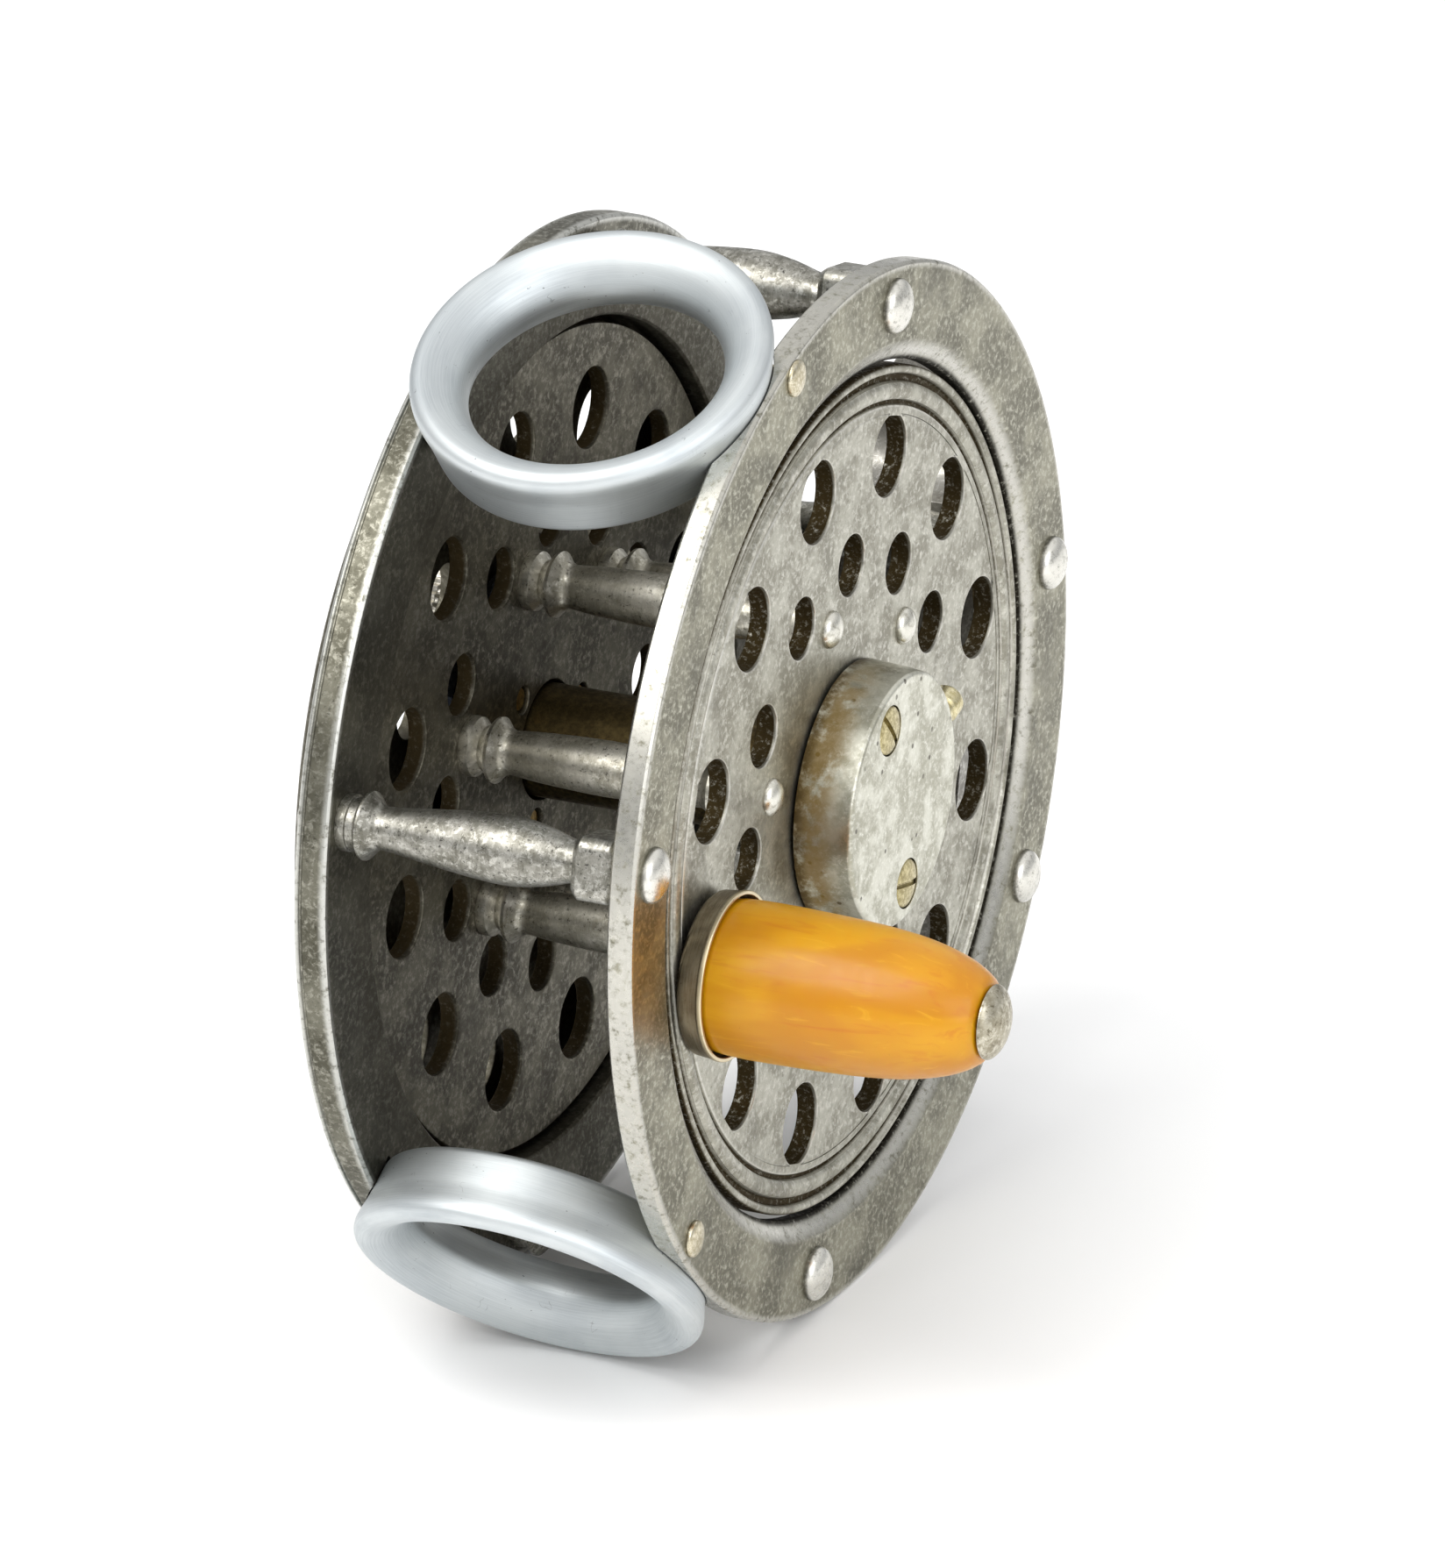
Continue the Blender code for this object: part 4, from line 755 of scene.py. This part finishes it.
def rear_plate():
    """A rim grooved round its edge, and a dished floor with two rows of holes."""
    edge = FRAME_RADIUS
    bm = bmesh.new()
    rim = rounded([(edge - 0.25, PLATE_FRONT, 0.2), (edge, -28.35, 0.2), (edge, -30.25, 0.08),
                   (edge - 0.25, -30.4, 0.08), (edge - 0.25, -30.55, 0.08), (edge - 0.05, -30.7, 0.1),
                   (edge - 0.2, PLATE_RIM_BACK, 0.25), (39.4, PLATE_RIM_BACK, 0.4), (39.1, -31.5, 0.3),
                   (38.4, -34.6, 1.0), (37.2, PLATE_BACK, 0.8), (DISH_RADIUS, PLATE_BACK),
                   (DISH_RADIUS, PLATE_FLOOR), (36.6, PLATE_FLOOR, 0.5), (37.2, -32.8, 0.4),
                   (37.2, -28.3, 0.2), (37.4, PLATE_FRONT, 0.15)], count=4)
    add_lathe(bm, rim, 256, closed=True)
    loops = [circle(DISH_RADIUS, 192), circle(2.7, 32)] + hole_rings(PLATE_HOLE_PHASE)
    spot = (KNOB - DATUM) / MM
    loops.append(circle(1.7, 28, spot.x, spot.z))
    add_disc(bm, loops, PLATE_BACK, PLATE_FLOOR, 0.18)
    obj = as_object(bm, "back_plate", reel())
    seat_guards(obj)
    piece(obj, "frame", plate_metal, "plate_metal", "rear_plate")


def dome(radius, base, height, flat=0.0, count=8):
    """A domed head from its crown down to its edge."""
    out = []
    for i in range(count + 1):
        turn = math.radians(90 * i / count)
        out.append((radius * math.sin(turn), base + height * math.cos(turn) ** (1 + flat)))
    return out


def frame_pillar(number, angle):
    """A turned pillar with a rivet head at each end and a square shoulder behind the ring."""
    shank, seat = 1.3, RING_BACK - 0.02
    front = dome(2.4, 0.12, 1.2) + [(2.4, 0.0), (shank, 0.0), (shank, seat), (2.3, seat), (2.3, -6.1)]
    body = smooth_line([(1.75, -6.5), (1.9, -7.4), (2.55, -9.8), (2.95, -12.6), (2.8, -16.0), (2.3, -20.5),
                        (1.95, -23.2), (1.85, -24.7)], 5)
    end = PLATE_FRONT + 0.02
    collar = rounded([(1.85, -24.7), (2.1, -25.1, 0.2), (2.95, -25.85, 0.1), (2.95, -26.1, 0.1),
                      (2.25, -26.5, 0.1), (2.25, -27.2, 0.05), (2.45, -27.3, 0.05), (2.45, end)], False, 4)
    head = PLATE_RIM_BACK - 0.01
    rear = [(shank, end), (shank, head), (2.25, head)]
    rear += [(r, -31.1 - h) for r, h in reversed(dome(2.25, 0.05, 1.1))]
    bm = bmesh.new()
    add_lathe(bm, front + body + collar[1:] + rear, 48)
    shoulder_front, shoulder_back = RING_BACK - 0.04, -6.5
    shoulder = rounded([(2.4, shoulder_front), (2.75, -2.42, 0.15), (3.05, -2.9, 0.2), (3.05, -5.7, 0.2),
                        (2.6, -6.3, 0.3), (1.75, shoulder_back)], False, 3)

    def square(radius, turn, height):
        sector = math.radians(90)
        local = (turn + sector / 2) % sector - sector / 2
        return min(radius * 1.12, radius * 0.9 / math.cos(local))

    add_lathe(bm, [(0, shoulder_front)] + shoulder + [(0, shoulder_back)], 64, wobble=square)
    obj = as_object(bm, "post_%d" % number, polar(PILLAR_CIRCLE, angle))
    piece(obj, "frame", pillar_metal, "pillar_metal", "frame_pillar_%d" % number, sharp=40)


def line_guard(side):
    """A bell-mouth ring and its screws.

    Its place is written into its mesh, so that its box is its true box, and the mesh keeps its own
    coordinates in an attribute for the material.
    """
    bm = bmesh.new()
    add_lathe(bm, smooth_line(GUARD_OUTLINE, 4)[:-1], 240, closed=True)
    obj = as_object(bm, "eye_" + side, Matrix.Identity(4))
    local = obj.data.attributes.new("local", "FLOAT_VECTOR", "POINT")
    for vertex, value in zip(obj.data.vertices, local.data):
        value.vector = vertex.co
    obj.data.transform(outward(GUARD_ANGLES[side], GUARD_MIDDLE))
    piece(obj, "frame", guard_metal, "guard_metal", "line_guard_" + side, sharp=80)
    screw = dome(1.6, 0.14, 0.45) + [(1.6, 0.02), (0.85, 0.02), (0.85, -4.4), (0, -4.4)]
    for end, station, sign in (("front", 0.0, 1), ("rear", PLATE_RIM_BACK, -1)):
        bm = bmesh.new()
        add_lathe(bm, [(r, h * sign) for r, h in screw], 40)
        obj = as_object(bm, "eye_screw_%s_%s" % (side, end), polar(*GUARD_SCREW_SPOTS[side], station))
        piece(obj, "frame", guard_screw_metal, "guard_screw_metal", "guard_screw_%s_%s" % (side, end))


def foot_side():
    """The foot's outline from its side, as (distance from the spool's axis, distance along the foot)."""
    slope = smooth_line([(48.6, 29), (48.1, 25), (47.5, 21.5), (46.6, 19.2), (45.0, 17.9),
                         (FOOT_SADDLE, 17.2)], 4)
    far_slope = smooth_line([(FOOT_SADDLE, -17.2), (45.0, -17.9), (46.6, -19.2), (47.5, -21.5), (48.1, -25),
                             (48.6, -29)], 4)
    hollow = smooth_line([(FOOT_SADDLE, 5.4), (44.2, 3.4), (44.5, 0), (44.2, -3.4), (FOOT_SADDLE, -5.4)], 4)
    tip = FOOT_HALF_LENGTH
    return ([(FOOT_FACE, -tip), (FOOT_FACE, tip), (FOOT_EDGE, tip)] + slope + [(FOOT_SADDLE, 6.0)] + hollow
            + [(FOOT_SADDLE, -6.0)] + far_slope + [(FOOT_EDGE, -tip)])


def foot_plan():
    """The foot's outline from outside: round tips and a wider middle."""
    tip, tip_steps = 4.6, 16
    plan = []
    for end in (1, -1):
        for i in range(tip_steps + 1):
            turn = math.radians(180 * i / tip_steps)
            plan.append((end * tip * math.cos(turn), end * (26.3 + tip * math.sin(turn))))
        outer = smooth_line([(-4.9, 24.5), (-6.2, 20.5), (-7.25, 16.5), (-FOOT_HALF_WIDTH, 13.0)], 4)
        plan += [(end * x, end * y) for x, y in outer]
        plan += [(end * x, -end * y) for x, y in reversed(outer)]
    return plan


def reel_foot():
    """The foot that a rod's seat holds, with two countersunk screws."""
    base = (Matrix.Translation(DATUM + Vector((0, -FRAME_MIDDLE, 0)) * MM)
            @ Matrix.Rotation(-math.radians(FOOT_ANGLE), 4, "Y"))
    bm = bmesh.new()
    add_disc(bm, [foot_side()], -FOOT_HALF_WIDTH - 0.1, FOOT_HALF_WIDTH + 0.1, 0.05)
    obj = as_object(bm, "foot", base @ FORWARD)
    bm = bmesh.new()
    add_disc(bm, [foot_plan()], 40, 52, 0.01)
    turn = Matrix.Rotation(math.radians(90), 4, "Z") @ Matrix.Rotation(math.radians(90), 4, "X")
    cut(obj, as_object(bm, "plan", base @ turn), "INTERSECT")
    out = Matrix.Rotation(math.radians(90), 4, "Y")
    for number, along in ((1, FOOT_SCREW_SPACING), (2, -FOOT_SCREW_SPACING)):
        spot = base @ Matrix.Translation((0, 0, along * MM)) @ out
        bm = bmesh.new()
        add_lathe(bm, [(0, 51), (2.35, 51), (2.35, 49.5), (1.15, 48.3), (1.15, 42), (0, 42)], 48)
        cut(obj, as_object(bm, "sink", spot))
        bm = bmesh.new()
        head = [(0, 49.55), (1.2, 49.54), (2.1, 49.42), (2.2, 49.3)]
        add_lathe(bm, head + [(1.0, 48.1), (1.0, 39.7), (0, 39.7)], 48)
        screw = as_object(bm, "foot_fixing_%d" % number, spot)
        slot_cutter(screw, spot @ Matrix.Translation((0, 0, 49.5 * MM)), 20 + 55 * number, 0.55, 0.6)
        piece(screw, "frame", foot_screw_metal, "foot_screw_metal", "foot_screw_%d" % number)
    piece(obj, "frame", foot_metal, "foot_metal", "reel_foot", sharp=30, bevel=0.25)


def slot_cutter(obj, matrix, angle, width, depth):
    """Cuts a screwdriver slot across a head."""
    length = 9
    bm = bmesh.new()
    size = Matrix.Diagonal((length * MM, width * MM, depth * 2 * MM, 1))
    bmesh.ops.create_cube(bm, size=1, matrix=size)
    cut(obj, as_object(bm, "slot", matrix @ Matrix.Rotation(math.radians(angle), 4, "Z")))


def spindle_and_nut():
    """The spindle with its clip's groove and threaded tail, and the nut behind the plate."""
    pitch = 0.44
    bm = bmesh.new()
    axle = SPINDLE_RADIUS
    profile = [(0, 2.9), (1.7, 2.9), (2.2, 2.4), (2.2, 1.1), (axle, 0.7), (axle, -30.5), (2.45, -30.55),
               (2.45, -31.3), (axle, -31.35), (axle, -33.15), (THREAD_RADIUS, -33.2)]
    height = -33.3
    while height > -37.5:
        profile += [(THREAD_RADIUS, height), (2.12, height - pitch / 2)]
        height -= pitch
    profile += [(2.1, -37.7), (1.9, -38.0), (0, -38.0)]
    add_lathe(bm, profile, 64)
    piece(as_object(bm, "axle", reel()), "frame", spindle_steel, "spindle_steel", "spindle")

    def hexagon(radius, turn, height):
        sector = math.radians(60)
        local = (turn + sector / 2) % sector - sector / 2
        return min(radius, NUT_HALF_WIDTH / math.cos(local))

    bm = bmesh.new()
    nut = rounded([(2.5, -37.6, 0.1), (3.9, -37.6, 0.1), (4.55, -37.25), (4.55, -35.75), (4.1, -35.4),
                   (2.5, -35.4)], count=3)
    add_lathe(bm, nut, 96, closed=True, wobble=hexagon)
    piece(as_object(bm, "axle_nut", reel()), "frame", nut_metal, "nut_metal", "spindle_nut")


def drag_knob():
    """A knurled knob behind the plate, with its stem through it."""
    ridges, ridge_depth = 36, 0.16
    ridge_front, ridge_back = -35.7, -38.9

    def knurled(radius, turn, height):
        if radius < 4.5 or height > ridge_front:
            return radius
        return radius - ridge_depth * (1 + math.cos(turn * ridges)) * (1 if height > ridge_back else 0.4)

    profile = rounded([(0, -38.75), (3.4, -38.75, 0.2), (3.7, -39.2, 0.2), (4.6, -39.2, 0.2),
                       (5.0, -38.8, 0.2), (5.0, -35.9, 0.2), (4.7, -35.5, 0.15), (1.5, -35.5),
                       (1.5, -33.35), (1.0, -33.3), (1.0, -31.6), (0, -31.6)], False, 3)
    bm = bmesh.new()
    add_lathe(bm, profile, 216, wobble=knurled)
    spot = reel((KNOB.x - DATUM.x) / MM, (KNOB.z - DATUM.z) / MM)
    piece(as_object(bm, "knob", spot), "knob", knob_metal, "knob_metal", "drag_knob", sharp=40)


# ------------------------------------------------------------------ spool

def bead(left, right, crest, base, count=8):
    """A raised bead between two radii."""
    centre, half = (left + right) / 2, (right - left) / 2
    points = []
    for i in range(count + 1):
        turn = math.pi * i / count
        points.append((centre - half * math.cos(turn), base + (crest - base) * math.sin(turn) ** 0.8))
    return points


def front_flange():
    """The spool's front: a perforated disc with two beads round its edge."""
    seam, edge = 32.6, 36.85
    bm = bmesh.new()
    rim = [(seam, FLANGE_FACE), (33.1, -1.07), (33.3, -1.16), (33.42, -1.42), (33.7, -1.46)]
    rim += bead(33.8, 35.35, -0.78, -1.3) + [(35.5, -1.5), (35.95, -1.5)] + bead(36.05, edge, -0.88, -1.35)
    rim += [(edge, -2.85), (36.7, FLANGE_BACK), (seam, FLANGE_BACK)]
    add_lathe(bm, rim, 256, closed=True)
    loops = [circle(seam + 0.02, 192), circle(FLANGE_BORE, 48)]
    loops += hole_rings(SPOOL_HOLE_PHASE, skip=(HANDLE_HOLE,))
    add_disc(bm, loops, FLANGE_BACK, FLANGE_FACE, 0.2)
    obj = as_object(bm, "flange_front", reel())
    piece(obj, "spool", flange_metal, "flange_metal", "spool_front_flange")


def rear_flange():
    """The spool's rear disc, with three small holes for the gear's dogs."""
    dogs, dog_hole, dog_circle = 3, 1.25, 7.2
    bm = bmesh.new()
    loops = [circle(36.4, 224), circle(FLANGE_BORE, 48)] + hole_rings(SPOOL_HOLE_PHASE)
    for i in range(dogs):
        a = math.radians(SPOOL_HOLE_PHASE + 360 / dogs * i)
        loops.append(circle(dog_hole, 24, dog_circle * math.cos(a), dog_circle * math.sin(a)))
    add_disc(bm, loops, REAR_FLANGE_BACK, REAR_FLANGE_FACE, 0.2)
    obj = as_object(bm, "flange_rear", reel())
    piece(obj, "spool", rear_flange_metal, "rear_flange_metal", "spool_rear_flange")


def spool_pillar(number):
    """A turned pillar between the flanges, alike at both ends, with a rivet head in front."""
    angle = SPOOL_PILLAR_PHASE + 360 / SPOOL_PILLARS * (number - 1)
    shank, waist = 1.1, 1.95
    foot = [(2.6, 0), (2.65, 0.3), (2.6, 0.9), (1.95, 1.5), (2.1, 1.9), (2.85, 2.5), (2.9, 2.8), (2.2, 3.4),
            (1.9, 4.0)]
    front, back = FLANGE_BACK - 0.02, REAR_FLANGE_FACE + 0.02
    profile = dome(1.65, -1.03, 0.95) + [(1.65, FLANGE_FACE), (shank, FLANGE_FACE), (shank, front)]
    profile += [(r, front - h) for r, h in foot]
    profile += smooth_line([(waist, front - 4.6), (2.2, front - 7.5), (2.4, (front + back) / 2),
                            (2.2, back + 7.5), (waist, back + 4.6)], 4)
    profile += [(r, back + h) for r, h in reversed(foot)]
    profile += [(shank, back), (shank, -30.9), (0, -30.9)]
    bm = bmesh.new()
    add_lathe(bm, profile, 40)
    obj = as_object(bm, "spool_post_%d" % number, polar(SPOOL_PILLAR_CIRCLE, angle))
    piece(obj, "spool", spool_pillar_metal, "spool_pillar_metal", "spool_pillar_%d" % number, sharp=40)


def hub():
    """The bearing tube."""
    bore, front, back = 3.0, 0.4, -30.3
    bm = bmesh.new()
    profile = rounded([(bore, front), (HUB_RADIUS - 0.3, front, 0.2), (HUB_RADIUS, front - 0.3, 0.2),
                       (HUB_RADIUS, back, 0.1), (bore, back)], count=3)
    add_lathe(bm, profile, 64, closed=True)
    piece(as_object(bm, "hub_tube", reel()), "spool", hub_brass, "hub_brass", "spool_hub")


def hub_cap():
    """A round cap, with two screws in counterbores and a notch for the latch's button."""
    bm = bmesh.new()
    profile = rounded([(0, CAP_FACE), (11.15, CAP_FACE, 0.45), (11.35, 2.5), (11.55, -0.8, 0.1),
                       (CAP_INNER_RADIUS, -0.8, 0.1), (CAP_INNER_RADIUS, CAP_CEILING, 0.2),
                       (0, CAP_CEILING)], False, 5)
    add_lathe(bm, profile, 160)
    cap = as_object(bm, "cap", reel())
    for number, (angle, slot_angle) in enumerate(CAP_SCREWS, 1):
        spot = polar(CAP_SCREW_CIRCLE, angle)
        bm = bmesh.new()
        add_lathe(bm, [(0, 6), (2.42, 6), (2.22, 4.3), (2.22, 3.95), (1.1, 3.95), (1.1, 2), (0, 2)], 48)
        cut(cap, as_object(bm, "sink", spot))
        bm = bmesh.new()
        shank = [(2.12, 4.0), (0.9, 4.0), (0.9, FLANGE_BACK), (0, FLANGE_BACK)]
        add_lathe(bm, dome(2.12, 4.28, 0.28) + shank, 48)
        screw = as_object(bm, "cap_fixing_%d" % number, spot)
        slot_cutter(screw, spot @ Matrix.Translation((0, 0, 4.55 * MM)), slot_angle - angle, 0.5, 0.42)
        piece(screw, "spool", cap_screw_metal, "cap_screw_metal", "cap_screw_%d" % number)
    bm = bmesh.new()
    add_lathe(bm, [(0, 14), (1.75, 14), (1.75, 8), (0, 8)], 48)
    cut(cap, as_object(bm, "notch", latch_frame() @ Matrix.Rotation(math.radians(90), 4, "Y")))
    piece(cap, "spool", cap_metal, "cap_metal", "hub_cap")


def latch_frame():
    """A frame on the latch's line, its X pointing out along the button."""
    return (Matrix.Translation(DATUM + Vector((0, -LATCH_STATION, 0)) * MM)
            @ Matrix.Rotation(-math.radians(LATCH_ANGLE), 4, "Y"))


def latch():
    """The release button and the sliding plate under the cap that it belongs to."""
    bm = bmesh.new()
    button = rounded([(0, 15.4), (1.5, 15.4, 0.55), (1.5, 13.6, 0.1), (1.35, 13.3, 0.1), (1.35, 9.6),
                      (0, 9.6)], False, 6)
    add_lathe(bm, button, 48, move=Matrix.Rotation(math.radians(90), 4, "Y"))
    slide = [(-6, -5), (7.2, -5), (9, -1.5), (10.3, -1.5), (10.3, 1.5), (9, 1.5), (7.2, 5), (-6, 5)]
    add_disc(bm, [slide, circle(3.9, 48)], -0.45, 0.45, 0.08)
    obj = as_object(bm, "latch", latch_frame() @ Matrix.Rotation(math.radians(90), 4, "X"))
    piece(obj, "latch", latch_metal, "latch_metal", "latch_button")


def handle():
    """A ferrule cup on the spool, the grip that turns in it, and the rivet through both."""
    spot = reel((HANDLE.x - DATUM.x) / MM, (HANDLE.z - DATUM.z) / MM)
    bm = bmesh.new()
    cup = rounded([(6.95, 1.95, 0.08), (7.3, 1.95, 0.12), (7.3, 1.55, 0.1), (7.22, 1.4, 0.05),
                   (7.05, -0.2, 0.3), (6.8, -0.5, 0.15), (2.0, -0.5), (2.0, 0.2), (6.85, 0.2, 0.2),
                   (6.95, 0.6)], count=4)
    add_lathe(bm, cup, 128, closed=True)
    piece(as_object(bm, "cup", spot), "spool", ferrule_metal, "ferrule_metal", "handle_ferrule")
    bm = bmesh.new()
    grip = [(GRIP_BORE, 24.9), (2.8, 24.95), (3.3, 24.85)]
    grip += smooth_line([(3.75, 24.5), (4.35, 23.6), (5.0, 22.2), (5.6, 20.2), (6.1, 17.6), (6.4, 14.6),
                         (6.58, 11.0), (6.68, 7.0), (6.7, 4.0), (6.62, 2.2), (6.5, 1.2),
                         (6.4, GRIP_BASE)], 5)
    grip += [(GRIP_BORE, GRIP_BASE)]
    add_lathe(bm, grip, 128, closed=True)
    piece(as_object(bm, "grip", spot), "handle", amber_handle, "amber_handle", "handle_grip", sharp=60)
    bm = bmesh.new()
    head, shank, tail = 3.2, 1.7, 2.8
    rivet = dome(head, 25.3, 1.3, 0.35, 12) + [(head, 25.2), (shank, 25.2), (shank, -3.1), (tail, -3.1)]
    rivet += [(tail, -3.6), (2.3, -4.2), (0, -4.3)]
    add_lathe(bm, rivet, 96)
    obj = as_object(bm, "grip_rivet", spot)
    piece(obj, "spool", rivet_metal, "rivet_metal", "handle_rivet")


front_ring()
rear_plate()
for number, turn in enumerate(PILLAR_TURNS, 1):
    frame_pillar(number, FOOT_ANGLE + turn)
line_guard("upper")
line_guard("lower")
reel_foot()
spindle_and_nut()
drag_knob()
front_flange()
rear_flange()
for number in range(1, SPOOL_PILLARS + 1):
    spool_pillar(number)
hub()
hub_cap()
latch()
handle()


# ------------------------------------------------------------------ floor, light and camera

REEL_CENTRE = DATUM + Vector((0, 16, 0)) * MM
HORIZON = (0.38, 0.39, 0.40, 1)
SKY = (1.0, 1.0, 1.0, 1)
SKY_HEIGHT = 0.6

CAMERA_AZIMUTH = -65.52
CAMERA_ELEVATION = 22.17
CAMERA_DISTANCE = 1.12422
CAMERA_LENS = 327.67
CAMERA_TARGET = DATUM + Vector((-4.466, 10.893, 1.100)) * MM
FRAMING_RIGHT = 0.3
FRAMING_UP = -0.45


def floor():
    """A plain pale floor."""
    bm = bmesh.new()
    bmesh.ops.create_grid(bm, x_segments=2, y_segments=2, size=4)
    obj = as_object(bm, "floor", Matrix.Identity(4))
    n = Nodes("floor_white")
    tone = n.mix(n.noise(0.02, 2.0), (0.96, 0.96, 0.96, 1), (0.98, 0.98, 0.98, 1))
    obj.data.materials.append(n.finish(tone, 0.7, 0.0))


def area_light(name, offset, size, power, colour):
    """A square light that points at the reel, its place given from the reel's centre."""
    lamp = bpy.data.lights.new(name, "AREA")
    lamp.shape = "RECTANGLE"
    lamp.size, lamp.size_y = size, size
    lamp.energy = power
    lamp.color = colour
    obj = bpy.data.objects.new(name, lamp)
    bpy.context.scene.collection.objects.link(obj)
    obj.location = REEL_CENTRE + Vector(offset)
    obj.rotation_euler = (-Vector(offset)).to_track_quat("-Z", "Y").to_euler()


def studio():
    """A sky that brightens from the horizon up, and two soft lights."""
    world = bpy.data.worlds.new("studio")
    bpy.context.scene.world = world
    world.use_nodes = True
    tree = world.node_tree
    coords = tree.nodes.new("ShaderNodeTexCoord")
    split = tree.nodes.new("ShaderNodeSeparateXYZ")
    tree.links.new(coords.outputs["Generated"], split.inputs[0])
    ramp = tree.nodes.new("ShaderNodeValToRGB")
    tree.links.new(split.outputs["Z"], ramp.inputs[0])
    low, high = ramp.color_ramp.elements
    low.position, low.color = 0.0, HORIZON
    high.position, high.color = SKY_HEIGHT, SKY
    tree.links.new(ramp.outputs[0], tree.nodes["Background"].inputs[0])
    area_light("key", (-0.55, 0.25, 0.75), 0.7, 6.5, (1.0, 0.99, 0.97))
    area_light("fill", (-0.5, -0.8, 0.45), 0.8, 4.0, (0.97, 0.98, 1.0))
    bpy.context.scene.view_settings.view_transform = "Standard"


def camera():
    """The camera stands to the left of the handle's side, above the reel, far off with a long lens."""
    azimuth, elevation = math.radians(CAMERA_AZIMUTH), math.radians(CAMERA_ELEVATION)
    back = Vector((math.sin(azimuth) * math.cos(elevation), -math.cos(azimuth) * math.cos(elevation),
                   math.sin(elevation)))
    right = Vector((math.cos(azimuth), math.sin(azimuth), 0))
    up = back.cross(right)
    target = CAMERA_TARGET + (right * FRAMING_RIGHT + up * FRAMING_UP) * MM
    lens = bpy.data.cameras.new("camera")
    lens.sensor_fit = "HORIZONTAL"
    lens.sensor_width = 36
    lens.lens = CAMERA_LENS
    lens.clip_start, lens.clip_end = 0.01, 50
    obj = bpy.data.objects.new("camera", lens)
    bpy.context.scene.collection.objects.link(obj)
    turn = Matrix((right, up, back)).transposed().to_4x4()
    obj.matrix_world = Matrix.Translation(target + back * CAMERA_DISTANCE) @ turn
    bpy.context.scene.camera = obj


floor()
studio()
camera()
bpy.context.view_layer.update()
